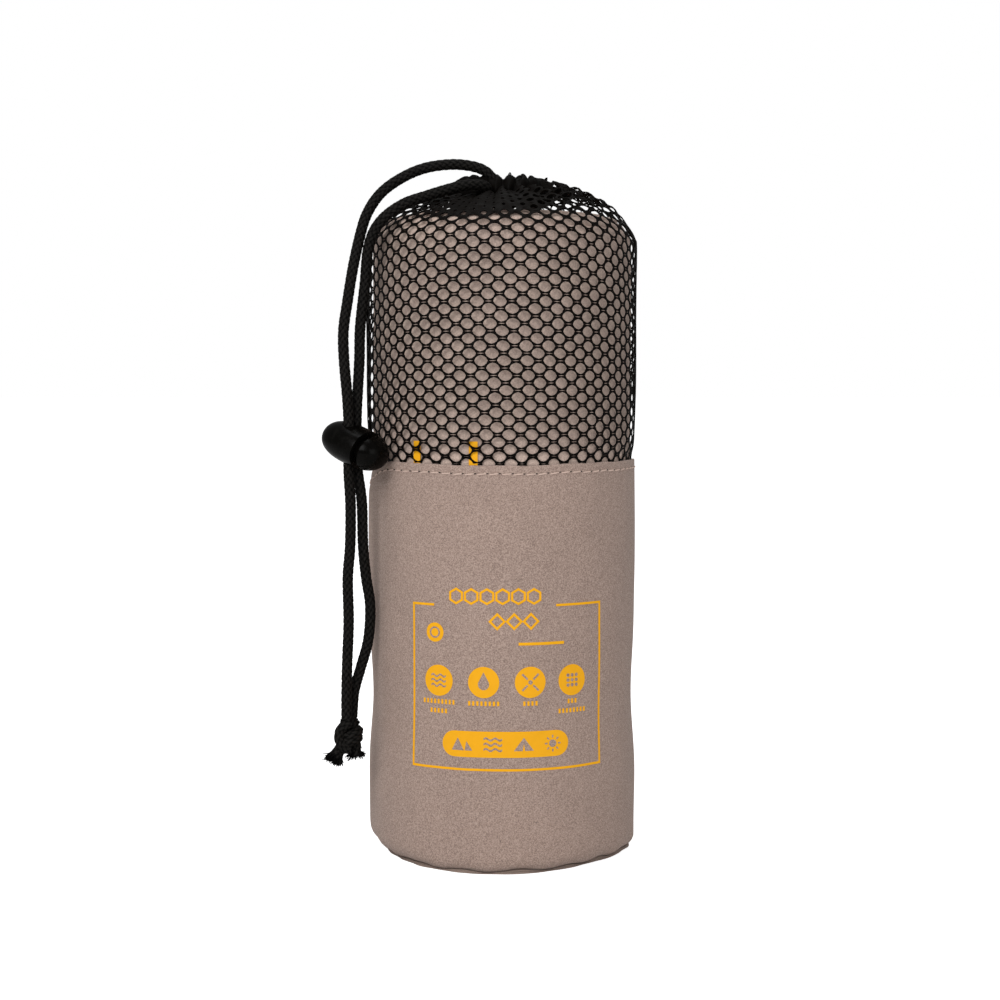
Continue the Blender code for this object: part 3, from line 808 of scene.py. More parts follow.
def fold_profile():
    """The folded sheet across the roll: (layer offset, share of the height, reach past the end)."""
    profile = []
    for layer in range(LAYERS):
        shares = [n / FOLD_ROWS for n in range(FOLD_ROWS + 1)]
        if layer % 2:
            shares.reverse()
        profile += [(float(layer), share, 0.0) for share in shares]
        if layer < LAYERS - 1:
            end = 0.0 if layer % 2 else 1.0
            sign = -1 if layer % 2 else 1
            for n in range(1, 4):
                turn = math.pi * n / 4
                profile.append((layer + 0.5 - 0.5 * math.cos(turn), end, sign * math.sin(turn)))
    return profile


class TOWEL_OT_towel(bpy.types.Operator):
    """Fold the towel in four, roll it up, and stitch its loose end"""

    bl_idname = "towel.towel"
    bl_label = "Towel"

    def execute(self, context):
        self.make_roll()
        self.make_edge_stitch()
        return {"FINISHED"}

    def make_roll(self):
        """One sheet, folded in four across its width and wound into a roll."""
        spacing = (sizes().layer_pitch - 0.25 * MM) / LAYERS
        half_wall = 0.4 * MM  # half the cloth's thickness and a little more
        last_turn = ROLL_TURNS + 1 - CLIMB_SHARE
        columns = round(last_turn * 60)
        profile = fold_profile()
        points, uvs = [], []
        run = 0.0
        for column in range(columns + 1):
            turns = last_turn * column / columns
            azimuth = CLIMB_START + TURN * (turns + CLIMB_SHARE)
            middle = roll_radius(turns)
            run += middle * TURN * last_turn / columns
            across = 0.0
            outer_turn = smooth_step(turns - last_turn + 1.2)
            for layer, share, past in profile:
                radius = middle + spacing * (layer - (LAYERS - 1) / 2)
                low, high = roll_edges(radius + half_wall)
                crush = 0.6 * MM * noise.noise(Vector((middle * 300, azimuth * 1.5, layer)))
                high += crush - spacing / 2 - half_wall
                low += spacing / 2 + half_wall
                height = low + (high - low) * share + past * spacing / 2
                slack = noise.noise(Vector((azimuth * 2.2, height * 28, turns))) * 0.45 * MM
                radius += outer_turn * min(slack, 0.0)
                points.append(ring_place(radius, azimuth, height))
                uvs.append((run, across))
                across += (high - low) / FOLD_ROWS if past == 0 else spacing * 0.4
        wide = len(profile)
        faces = [
            (c * wide + n, (c + 1) * wide + n, (c + 1) * wide + n + 1, c * wide + n + 1)
            for c in range(columns)
            for n in range(wide - 1)
        ]
        roll = mesh_object("rolled_towel", points, faces, uvs)
        add_wall(roll, TOWEL_THICKNESS, 0)
        apply_modifiers(roll)
        material = nap_material(
            "towel_cloth",
            colours().towel,
            colours().towel_fleck,
            fleck_scale=2200.0,
            strength=0.5,
            mottle=0.10,
        )
        finish_piece(roll, "rolled_towel", "bag", "towel_cloth", material, "towel_roll", sharp=80)

    def make_edge_stitch(self):
        """Overlock stitches round the towel's loose end, at the back of the roll."""
        low, high = node_span("towel_edge_stitch", 2)
        centre = box_centre("towel_edge_stitch")
        outward = Vector((centre.x, centre.y, 0)).normalized()
        along = Vector((-outward.y, outward.x, 0))
        pitch = 1.6 * MM
        paths = []
        for n in range(int((high - low) / pitch)):
            z = low + pitch * (n + 0.5)
            middle = Vector((centre.x, centre.y, z))
            rise = along * 0.25 * MM + Vector((0, 0, 0.35 * pitch))
            turns = [TURN * k / 9 for k in range(9)]
            paths.append([middle + outward * 1.2 * MM * math.cos(a) + rise * math.sin(a) for a in turns])
        stitch = many_threads("towel_overlock", paths, lambda share: 0.17 * MM)
        finish_piece(stitch, "towel_overlock", "bag", "thread", sewing_thread(), "towel_edge_stitch")


# Sleeve and base

SEAM_AZIMUTH = math.radians(184)
SLEEVE_WALL = 0.8 * MM
SLEEVE_COLUMNS = 288
LIP_PROFILE = (  # reach past the sleeve in mm, or -1 for in to the base, and share of the height below it
    (-1.0, 0.05), (0.2, 0.0), (0.42, 0.12), (0.40, 0.36), (0.10, 0.48),
    (0.14, 0.54), (0.36, 0.68), (0.34, 0.86), (0.0, 0.97), (-1.0, 0.95),
)


def sleeve_offset(azimuth, height):
    """How far the sleeve's cloth stands off its plain round shape."""
    waist_right = bump_at(height, 0.050, 0.016) * bump_round(azimuth, 0.0, 0.7)
    waist_left = bump_at(height, 0.048, 0.014) * bump_round(azimuth, math.pi, 0.55)
    fullness = bump_at(height, 0.028, 0.015)
    toe = bump_at(height, 0.004, 0.012) * bump_round(azimuth, math.radians(258), 0.6)
    wander = ring_noise(3.1, azimuth, height * 26)
    fine = ring_noise(9, azimuth, height * 60 + 7)
    bulge = -1.0 * waist_right - 0.9 * waist_left + 0.35 * fullness + 0.7 * toe
    return (bulge + wander * 0.45 + fine * 0.12) * MM


def sleeve_low(azimuth):
    """Height of the sleeve's lower edge, which waves over the lip of the base seam."""
    return min(max(1.0 + 1.1 * ring_noise(5.5, azimuth, 8.2), 0.55), 1.7) * MM


def corner_radius(azimuth):
    """Radius that rounds the sleeve's lower edge: larger at the sides, where the filling is loose."""
    left = bump_round(azimuth, math.radians(195), 0.75)
    right = bump_round(azimuth, math.radians(312), 0.5)
    back = bump_round(azimuth, math.radians(80), 1.0)
    wave = ring_noise(5, azimuth, 3.7)
    return CORNER_RADIUS * (0.5 + 0.85 * left + 0.6 * right + 0.5 * back + 0.16 * wave)


def sleeve_hem(azimuth):
    """Height of the sleeve's top edge: it drops where the side seam pulls on it."""
    drop = 5.4 * MM * bump_round(azimuth, SEAM_AZIMUTH, 0.30)
    wave = 0.5 * MM * ring_noise(4, azimuth, 0.3)
    return SLEEVE_TOP + 1.3 * MM + 0.8 * MM * abs(math.cos(azimuth)) - drop + wave


def sleeve_place(azimuth, height):
    """A point on the sleeve's outer face, round its lower corner too."""
    radius = SLEEVE_RADIUS + sleeve_offset(azimuth, height)
    corner = corner_radius(azimuth)
    past = corner - (height - sleeve_low(azimuth))
    if past > 0:
        past = min(past, corner)
        radius -= corner - math.sqrt(corner**2 - (0.97 * past) ** 2)
    top = sleeve_hem(azimuth)
    turned = smooth_step((height - (top - 6 * MM)) / (6 * MM))
    radius -= turned * 0.7 * MM * bump_round(azimuth, SEAM_AZIMUTH, 0.25)
    return ring_place(radius, azimuth, height)


class TOWEL_OT_sleeve(bpy.types.Operator):
    """Make the taupe sleeve, its hem stitches and the base with its seam lip"""

    bl_idname = "towel.sleeve"
    bl_label = "Sleeve and base"

    def execute(self, context):
        self.make_sleeve()
        self.make_stitches()
        self.make_base()
        return {"FINISHED"}

    def make_sleeve(self):
        """The cloth as rings of points from its lower edge up to its hem, given a wall."""
        rows = 110
        points, uvs = [], []
        for row in range(rows + 1):
            for column in range(SLEEVE_COLUMNS):
                azimuth = TURN * (column + 1) / SLEEVE_COLUMNS - math.pi
                low = sleeve_low(azimuth)
                height = low + (sleeve_hem(azimuth) - low) * row / rows
                points.append(sleeve_place(azimuth, height))
                uvs.append((azimuth * SLEEVE_RADIUS, height))
        faces = ring_faces(rows + 1, SLEEVE_COLUMNS)
        sleeve = mesh_object("sleeve_cloth", points, faces, uvs)
        add_wall(sleeve, SLEEVE_WALL, -1)
        add_bevel(sleeve, 0.25 * MM, 2, 60)
        apply_modifiers(sleeve)
        material = nap_material("sleeve_cloth", colours().sleeve, colours().sleeve_fleck)
        finish_piece(
            sleeve, "sleeve_cloth", "bag", "taupe_cloth", material, "bag_sleeve", "sleeve_side_seam", sharp=60
        )

    def make_stitches(self):
        """A row of single stitches just under the hem."""
        count = round(TURN * SLEEVE_RADIUS / sizes().stitch_pitch)
        drop = SLEEVE_TOP - STITCH_HEIGHT
        chance = random.Random(4)
        paths, holes = [], []
        for n in range(count):
            start = TURN * (n + chance.uniform(-0.03, 0.03)) / count
            span = TURN / count * 0.80  # the rest is the gap to the next stitch
            path = []
            for k in range(7):
                share = k / 6
                azimuth = start + span * share
                height = sleeve_hem(azimuth) - drop + (share - 0.5) * 0.3 * MM
                lift = 0.16 * MM * math.sin(math.pi * min(share, 1.0)) ** 0.5 - 0.05 * MM
                spot = sleeve_place(azimuth, height)
                outward = Vector((spot.x, spot.y, 0)).normalized()
                path.append(spot + outward * lift)
            paths.append(path)
            onward = (path[-1] - path[-2]).normalized() * 0.35 * MM
            holes.append([path[-1] + onward * (k - 0.6) for k in range(3)])
        punched = many_threads("needle_holes", holes, lambda share: 0.21 * MM, sides=7)
        shadow = nap_material("needle_shadow", colours().needle_hole, (0.02, 0.014, 0.012))
        finish_piece(punched, "needle_holes", "bag", "thread", shadow)
        stitches = many_threads(
            "hem_stitches",
            paths,
            lambda share: 0.21 * MM * (0.65 + 0.35 * math.sin(math.pi * share)),
            sides=7,
        )
        finish_piece(stitches, "hem_stitches", "bag", "thread", sewing_thread(), "hem_topstitch")

    def make_base(self):
        """The round base panel and the frilled lip of its seam allowance."""
        material = nap_material("seam_cloth", colours().seam, colours().sleeve_fleck, strength=0.6)
        select_only()
        bpy.ops.mesh.primitive_circle_add(
            vertices=96, radius=BASE_RADIUS, fill_type="NGON", location=(0, 0, 0.1 * MM)
        )
        base = bpy.context.object
        edit_whole(base)
        for inset in (1.2 * MM, 6 * MM, 10 * MM, 10 * MM):
            bpy.ops.mesh.inset(thickness=inset)
        bpy.ops.mesh.select_all(action="SELECT")
        bpy.ops.mesh.extrude_region_move(TRANSFORM_OT_translate={"value": (0, 0, BASE_TOP - 0.1 * MM)})
        bpy.ops.mesh.select_all(action="SELECT")
        bpy.ops.mesh.normals_make_consistent(inside=False)
        bpy.ops.object.mode_set(mode="OBJECT")
        settle(base)
        add_bevel(base, 0.3 * MM, 2, 60)
        apply_modifiers(base)
        finish_piece(base, "base_panel", "bag", "taupe_seam", material, "bag_base")

        points, uvs = [], []
        for k, (reach, share) in enumerate(LIP_PROFILE):
            for n in range(SLEEVE_COLUMNS):
                azimuth = TURN * n / SLEEVE_COLUMNS
                edge = sleeve_place(azimuth, sleeve_low(azimuth))
                frill = 1 + 1.4 * ring_noise(8, azimuth, 0.4 if k < len(LIP_PROFILE) // 2 else 2.6)
                radius = math.hypot(edge.x, edge.y) + 0.15 * MM + reach * MM * frill
                if reach < 0:
                    radius = BASE_RADIUS + GAP
                height = (sleeve_low(azimuth) - 0.08 * MM) * share
                points.append(ring_place(radius, azimuth, height))
                uvs.append((azimuth * radius, height))
        faces = ring_faces(len(LIP_PROFILE), SLEEVE_COLUMNS, closed=True)
        lip = mesh_object("base_lip", points, faces, uvs)
        face_outwards(lip)
        finish_piece(lip, "base_lip", "bag", "taupe_seam", material, "base_seam", sharp=70)


# Net and gathered hem

HEXAGON = [(-2 / 3, 0), (-1 / 3, -0.5), (1 / 3, -0.5), (2 / 3, 0), (1 / 3, 0.5), (-1 / 3, 0.5)]
HOLE_WIDTH = 0.603  # half widths of a hole, in columns and in cells
HOLE_HEIGHT = 0.372
HOLE_BLUNTNESS = 1.66  # 1 is a diamond, 2 is an ellipse
SLIT = 0.036  # half the opening between the two yarns of a level bar, in cells
NET_LEAN = 0.07  # sideways lean of the knit per length
NET_THICKNESS = 0.32 * MM
NET_PLEATS = 23
PLEAT_DEPTH = 1.5 * MM
NET_SLACK = 0.55 * MM
SEAM_PULL = 0.5 * MM
LOOP_AZIMUTHS = (284, 292, 300, 342, 352, 20, 130)  # where loops of yarn stand off the gathered hem


def net_outline():
    """The net's line from inside the hem up to the gather, as (radius, height) points."""
    hem = SLEEVE_RADIUS - 1.2 * MM
    wall = ((0.6, 7), (0.2, 16), (0.0, 32))
    dome = ((0, -12), (0.6, -6.5), (2.9, -2.6), (6.1, 1.2), (9.5, 3.9), (15.4, 6.6), (21.7, 8.2))
    return [
        (hem, SLEEVE_TOP - 7.0 * MM),
        (hem, SLEEVE_TOP + 2.4 * MM),
        *((NET_RADIUS - inward * MM, SLEEVE_TOP + up * MM) for inward, up in wall),
        *((NET_RADIUS - inward * MM, ROLL_TOP + up * MM) for inward, up in dome),
        (CHANNEL_RING + CHANNEL_TUBE + 0.8 * MM, CHANNEL_HEIGHT + 1.4 * MM),
    ]


class NetSurface:
    """The net's shape, by azimuth and length along its outline."""

    def __init__(self):
        line = smooth_route([(r, 0, z) for r, z in net_outline()], 0.8 * MM)
        self.line = [(p.x, p.z) for p in line]
        self.runs = [0.0]
        for (r0, z0), (r1, z1) in zip(self.line, self.line[1:]):
            self.runs.append(self.runs[-1] + math.hypot(r1 - r0, z1 - z0))
        self.length = self.runs[-1]

    def outline_at(self, run):
        """Radius, height and outward slope at a length along the outline."""
        run = min(max(run, 0.0), self.length)
        low = min(bisect.bisect_right(self.runs, run), len(self.runs) - 1) - 1
        (r0, z0), (r1, z1) = self.line[low], self.line[low + 1]
        step = self.runs[low + 1] - self.runs[low]
        share = (run - self.runs[low]) / step
        normal = Vector(((z1 - z0) / step, (r0 - r1) / step))
        return r0 + (r1 - r0) * share, z0 + (z1 - z0) * share, normal

    def place(self, azimuth, run):
        """A point on the slack, pleated net."""
        radius, height, normal = self.outline_at(run)
        above = smooth_step((height - (ROLL_TOP - 14 * MM)) / (16 * MM))
        gather = smooth_step((run / self.length - 0.72) / 0.28)
        pressed = bump_round(azimuth, DROP_AZIMUTH, DROP_WIDTH)
        pleat = math.sin(NET_PLEATS * azimuth + 1.8 * ring_noise(2, azimuth, 5))
        lift = PLEAT_DEPTH * gather * pleat * (1 - 0.75 * pressed)
        spot = ring_place(2.6, azimuth, height * 30)
        slack = smooth_step((height - SLEEVE_TOP) / (14 * MM)) * (1 - above)
        lift += slack * NET_SLACK * (noise.noise(spot) - bump_round(azimuth, LOCK_AZIMUTH, 0.22))
        if gather > 0:
            lift += gather * 1.3 * MM * noise.noise(spot * 3) * (1 - 0.8 * pressed)
        inward = smooth_step((DROP_START - radius) / DROP_FADE)
        dome = smooth_step((height - (ROLL_TOP - 12 * MM)) / (6 * MM))
        height -= DROP_DEPTH * pressed * inward * dome
        hem = smooth_step((SLEEVE_TOP + 9 * MM - height) / (9 * MM))
        pull = bump_round(azimuth, SEAM_AZIMUTH, 0.2) * hem
        radius += normal.x * lift - SEAM_PULL * pull
        height += normal.y * lift
        return ring_place(radius, azimuth, height)


class TOWEL_OT_net(bpy.types.Operator):
    """Knit the net from six-sided cells, and gather its hem round the drawcord"""

    bl_idname = "towel.net"
    bl_label = "Net and gathered hem"

    def execute(self, context):
        surface = NetSurface()
        self.make_net(surface)
        self.make_seam(surface)
        self.make_gather()
        return {"FINISHED"}

    def bunching(self, azimuth, share):
        """How far the net's holes are drawn shut, 0 to 1: at the rim, and in the folds at the front."""
        folds = smooth_step((share - 0.755) / 0.05) * bump_round(azimuth, FOLDS_AZIMUTH, 0.5)
        return max(smooth_step((share - 0.925) / 0.07), folds)

    def make_net(self, surface):
        """Cells as rings of faces round rounded holes, then the wall of the knit."""
        columns = sizes().net_columns
        rows = round(surface.length / sizes().net_cell)
        cell = surface.length / rows
        step = TURN / columns
        chance = random.Random(11)
        shared, points, faces = {}, [], []

        def place(u, v):
            return surface.place(u * step - NET_LEAN * v * cell / NET_RADIUS, v * cell)

        def corner(u, v):
            key = (round(u * 12) % (columns * 12), round(v * 12))
            if key not in shared:
                shared[key] = len(points)
                points.append(place(u, v))
            return shared[key]

        def loose(u, v):
            points.append(place(u, v))
            return len(points) - 1

        for column in range(columns):
            shift = 0.5 if column % 2 else 0.0
            for row in range(rows):
                u, v = column + 0.5, row + 0.5 + shift
                if v + 0.5 > rows + 0.01:
                    continue
                outline, outer = [], []
                for (x0, y0), (x1, y1) in zip(HEXAGON, HEXAGON[1:] + HEXAGON[:1]):
                    outline += [(x0, y0), ((x0 + x1) / 2, (y0 + y1) / 2)]
                    outer.append(corner(u + x0, v + y0))
                    if y0 == y1 and 0 < v + y0 < rows:
                        outer.append(loose(u, v + y0 * (1 - 2 * SLIT)))
                    else:
                        outer.append(corner(u + outline[-1][0], v + outline[-1][1]))
                shut = 1 - 0.84 * self.bunching(u * step, v / rows)
                open_dome = 1 + 0.10 * smooth_step((v / rows - 0.76) / 0.08)
                wide = HOLE_WIDTH * open_dome * shut * chance.uniform(0.97, 1.03)
                tall = HOLE_HEIGHT * (0.3 + 0.7 * shut) * chance.uniform(0.95, 1.05)
                lean = chance.uniform(-0.03, 0.03)
                inner = []
                for x, y in outline:
                    turn = math.atan2(y / 0.5, x / (2 / 3))
                    c, s = math.cos(turn), math.sin(turn)
                    reach = (abs(c) ** HOLE_BLUNTNESS + abs(s) ** HOLE_BLUNTNESS) ** (-1 / HOLE_BLUNTNESS)
                    x = wide * reach * c
                    inner.append(loose(u + x, v + tall * reach * s + lean * x))
                for n in range(len(outline)):
                    m = (n + 1) % len(outline)
                    faces.append((outer[n], outer[m], inner[m], inner[n]))
        uvs = [(math.atan2(spot.y, spot.x) * NET_RADIUS, spot.z) for spot in points]
        net = mesh_object("net_upper", points, faces, uvs)
        add_wall(net, NET_THICKNESS, 0)
        apply_modifiers(net)
        finish_piece(net, "net_upper", "bag", "net", net_yarn(), "mesh_upper", sharp=80)

    def make_seam(self, surface):
        """The net's side seam allowance, a rolled double edge on its inner side."""
        paths = []
        for offset in (-1.1, 0.0, 1.1):
            path = []
            for n in range(70):
                run = surface.length * (0.10 + 0.60 * n / 69)  # from under the hem to the roll's rim
                spot = surface.place(SEAM_AZIMUTH + offset * MM / NET_RADIUS, run)
                inward = Vector((-spot.x, -spot.y, 0)).normalized()
                wave = 0.25 * MM * math.sin(n * 1.9 + offset)
                path.append(spot + inward * (0.65 * MM) + Vector((0, wave, 0)))
            paths.append(path)
        seam = many_threads("net_seam", paths, lambda share: 0.42 * MM, sides=6)
        finish_piece(seam, "net_seam", "bag", "net", net_yarn(), "mesh_side_seam")

    def pleated_ring(self, ring_radius, tube_radius, height, start, span, pleats, seed):
        """A ring of crumpled pleats, from one azimuth round through a span."""
        columns, sides = 420, 30
        end_columns = 10  # over which the ring narrows towards each of its ends
        rings = []
        for k in range(columns + 1):
            azimuth = start + span * k / columns
            full = smooth_step(min(k, columns - k) / end_columns)
            wobble = ring_noise(3, azimuth, seed)
            phase = pleats * azimuth + 2.2 * wobble
            ring = []
            for n in range(sides):
                turn = TURN * n / sides
                fold = abs(math.sin(phase / 2 + 0.6 * math.sin(turn * 2 + 3 * wobble)))
                crumple = noise.noise(Vector((azimuth * 9, math.cos(turn) * 1.4, math.sin(turn) * 1.4)))
                radius = tube_radius * (0.80 + 0.20 * fold + 0.22 * crumple) * (0.82 + 0.18 * full)
                tall = 1.12 if math.sin(turn) > 0 else 1.0
                across = ring_radius + radius * math.cos(turn)
                ring.append(ring_place(across, azimuth, height + radius * math.sin(turn) * tall))
            rings.append(ring)
        item = mesh_object("pleated_ring", *skin(rings))
        face_outwards(item)
        return item

    def make_gather(self):
        """The gathered hem that the cord runs in and comes out of, a ruffle inside it, and frayed loops."""
        gather = self.pleated_ring(CHANNEL_RING, CHANNEL_TUBE, CHANNEL_HEIGHT, EYELET_AZIMUTH, TURN, 21, 1)
        inner, raised = CHANNEL_RING - 2.0 * MM, CHANNEL_HEIGHT + 0.4 * MM
        ruffle = self.pleated_ring(inner, 2.3 * MM, raised, 0.5, TURN - 0.02, 31, 6)
        join(gather, ruffle)
        finish_piece(
            gather, "gathered_hem", "bag", "net", net_yarn(), "drawcord_channel", "drawcord_loop", sharp=70
        )
        chance = random.Random(5)
        paths = []
        for _ in range(8):
            azimuth = math.radians(chance.choice(LOOP_AZIMUTHS) + chance.uniform(-5, 5))
            wide = chance.uniform(0.08, 0.18)
            tall = chance.uniform(0.6, 1.7) * MM
            tilt = chance.uniform(-1.2, 1.2) * MM
            out = chance.uniform(-0.5, 0.9) * 2.4 * MM
            path = []
            for k in range(12):
                share = k / 11
                arch = math.sin(math.pi * share)
                radius = CHANNEL_RING + out + tilt * arch
                base = CHANNEL_HEIGHT + math.sqrt(max(CHANNEL_TUBE**2 - out**2, 0)) * 0.85
                path.append(ring_place(radius, azimuth + wide * (share - 0.5), base + tall * arch))
            paths.append(path)
        loops = many_threads("frayed_loops", paths, lambda share: 0.19 * MM)
        finish_piece(loops, "frayed_loops", "bag", "net", net_yarn(), "channel_topstitch")


# Drawcord

KNOT_STRANDS_MM = (  # two that go through the knot and one across its front, from its centre
    ((-1.0, -1.7, 5.0), (-1.6, -1.0, 0.2), (-2.2, -0.3, -4.6)),
    ((0.4, 1.7, 5.0), (1.3, 0.7, 0.2), (2.2, -0.3, -4.6)),
    ((0.4, -2.0, 4.3), (-2.2, -3.0, 2.4), (-2.9, -3.1, -0.4), (-1.8, -2.9, -3.0), (0.3, -2.2, -4.2)),
)
FRAYED_ENDS = (  # name, node, start from the knot's centre in mm, aim, stub length, yarns, their length
    ("frayed_end_left", "cord_end_left", (-2.6, -0.2, -3.6), (-0.45, -0.07, -0.85), 3.6 * MM, 260, 3.6 * MM),
    ("frayed_end_right", "cord_end_right", (1.6, 0.3, -4.2), (0.15, 0.1, -0.95), 2.4 * MM, 160, 1.7 * MM),
)
BRAID_STRANDS = 6
BRAID_PITCH = 2.2 * MM
BRAID_DEPTH = 0.23  # depth of the gaps between strands, as a share of the cord's radius


def braid_height(turn, run):
    """Relief of a round braid, 0 to 1: two families of strands that pass over and under."""
    a = BRAID_STRANDS * turn / (TURN) + run / BRAID_PITCH
    b = BRAID_STRANDS * turn / (TURN) - run / BRAID_PITCH
    over = (math.floor(a) + math.floor(b)) % 2 == 0
    first = abs(math.sin(math.pi * a))
    second = abs(math.sin(math.pi * b))
    top, under = (first, second) if over else (second, first)
    return max(top**0.7, 0.55 * under**0.7)


def even_points(path, count):
    """Points along a path, all the same distance apart."""
    total = path_length(path)
    even, run, part, left = [path[0]], 0.0, 0, (path[1] - path[0]).length
    for n in range(1, count):
        target = total * n / count
        while run + left < target and part < len(path) - 2:
            run += left
            part += 1
            left = (path[part + 1] - path[part]).length
        even.append(path[part].lerp(path[part + 1], (target - run) / left))
    return [*even, path[-1]]


def braided_tube(name, path, step=0.42 * MM, sides=40, swell=1.0):
    """A braided cord as one closed skin with its strands in relief, swollen towards its end."""
    total = path_length(path)
    count = max(2, round(total / step))
    even = even_points(path, count)
    rings, uvs, reliefs = [], [], []
    for n, (point, (side, up)) in enumerate(zip(even, frames_along(even))):
        along = total * n / count
        ring = []
        for k in range(sides):
            turn = TURN * k / sides
            relief = braid_height(turn, along)
            reliefs.append(relief)
            radius = CORD_DIAMETER / 2 * (1 - BRAID_DEPTH + BRAID_DEPTH * relief)
            radius *= 1 + (swell - 1) * n / count
            ring.append(point + radius * (math.cos(turn) * side + math.sin(turn) * up))
            uvs.append((k / sides * math.pi * CORD_DIAMETER, along))
        rings.append(ring)
    cord = mesh_object(name, *skin(rings), uvs)
    # the relief is also kept on the points, where cord_yarn paints shade into the gaps between strands
    relief = cord.data.attributes.new("relief", "FLOAT", "POINT")
    relief.data.foreach_set("value", reliefs)
    return cord


def cord_yarn():
    """Material of the braided drawcord, with painted shade in the gaps between its strands."""
    if "cord_yarn" in bpy.data.materials:
        return bpy.data.materials["cord_yarn"]
    # colour of the dust patches and also of the painted highlight on the raised threads
    worn = (0.019, 0.017, 0.015)
    material = yarn_material("cord_yarn", colours().cord, worn, dust=0.35, fibre_scale=2200.0)
    tree = material.node_tree
    target = tree.nodes["Principled BSDF"].inputs["Base Color"]
    relief = add_node(tree, "ShaderNodeAttribute", attribute_name="relief")
    # painted shade: where the relief is low, between the strands, the colour goes to near black
    raised = range_node(tree, relief.outputs["Fac"], 0.45, 1.0)
    painted_gap_shade = (0.0006, 0.0005, 0.0004)
    tree.links.new(mix_node(tree, raised, painted_gap_shade, target.links[0].from_socket), target)
    return material


class TOWEL_OT_drawcord(bpy.types.Operator):
    """Braid the drawcord's two tails, tie their knot and fray their ends"""

    bl_idname = "towel.drawcord"
    bl_label = "Drawcord"

    def execute(self, context):
        knot = self.make_knot()
        ends = self.make_ends()
        for name, route, node in (
            ("cord_front_tail", FRONT_TAIL_MM, "drawcord_tail_front"),
            ("cord_rear_tail", REAR_TAIL_MM, "drawcord_tail_rear"),
        ):
            path = smooth_route([Vector(p) * MM for p in route], 1.0 * MM)
            tail = braided_tube(name, path)
            finish_piece(tail, name, "bag", "cord", cord_yarn(), node, sharp=80)
            tuple(path[0])
            path_length(path)
        return {"FINISHED"}

    def make_knot(self):
        """A tight knot: the doubled cord wound round itself."""
        low, high = node_span("end_knot", 2)
        tube = 1.7 * MM
        reach = (node_span("end_knot", 0)[1] - node_span("end_knot", 0)[0]) / 2 - tube
        axis = Vector((KNOT_CENTRE.x, KNOT_CENTRE.y, 0))
        path = []
        steps = 72
        for n in range(steps + 1):
            share = n / steps
            turn = TURN * 2.6 * share + 0.6  # the cord goes round two and a half times
            swell = 0.78 + 0.22 * math.sin(math.pi * share)
            height = high - tube - 0.6 * MM - (high - low - 2 * tube) * share
            lean = 1.1 * MM * math.sin(turn + 0.5 + 1.2 * share)
            path.append(axis + ring_place(reach * swell, turn, height + lean))
        knot = braided_tube("tail_knot", path, step=0.45 * MM, sides=36)
        strands = []
        for route in KNOT_STRANDS_MM:
            route = smooth_route([KNOT_CENTRE + Vector(p) * MM for p in route], 1 * MM)
            strands.append(braided_tube("strand", route, sides=32))
        join(knot, *strands)
        return finish_piece(knot, "tail_knot", "bag", "cord", cord_yarn(), "end_knot", sharp=80)

    def make_ends(self):
        """Two short stubs of cord that fray into loose yarn."""
        chance = random.Random(8)
        ends = []
        for name, node, start, aim, stub_length, count, length in FRAYED_ENDS:
            top = KNOT_CENTRE + Vector(start) * MM
            aim = Vector(aim).normalized()
            stub_end = top + aim * stub_length
            route = smooth_route([top, (top + stub_end) / 2, stub_end], 0.8 * MM)
            stub = braided_tube(name, route, sides=32, swell=1.3)
            paths = []
            side = aim.orthogonal().normalized()
            up = aim.cross(side)
            for n in range(count):
                turn = chance.uniform(0, TURN)
                off = math.sqrt(chance.random()) * 2.0 * MM
                outward = math.cos(turn) * side + math.sin(turn) * up
                root = stub_end - aim * 0.8 * MM + off * outward
                spread = outward * (off * chance.uniform(0.2, 1.0))
                if aim.x < -0.3 and n % 12 == 0:
                    spread += Vector((-1, 0, 0.2)) * chance.uniform(1.0, 2.6) * MM
                droop = Vector((0, 0, -chance.uniform(0, 0.5) * MM))
                reach = length * chance.uniform(0.45, 1.0) * (1 - 0.12 * off / MM)
                middle = root + aim * reach * 0.5 + spread * 0.35
                tip = root + aim * reach + spread + droop
                paths.append(smooth_route([root, middle, tip], 0.6 * MM))
            yarn = many_threads("yarn", paths, lambda share: 0.21 * MM * (1 - 0.4 * share), sides=4)
            join(stub, yarn)
            ends.append(finish_piece(stub, name, "bag", "cord", cord_yarn(), node, sharp=80))
        return ends


# Cord lock

BEAN_HALF_LENGTH = 11.4 * MM
BEAN_HALF_WIDTH = 7.4 * MM
BEAN_HALF_HEIGHT = 6.2 * MM
BEAN_BLUNTNESS = 2.6
BODY_RIM = 4.0 * MM
BUTTON_TRAVEL = 2.0 * MM
CORD_CLEARANCE = 0.35 * MM
SLOT_OFFSET = 1.1 * MM  # from the lock's middle away from the button


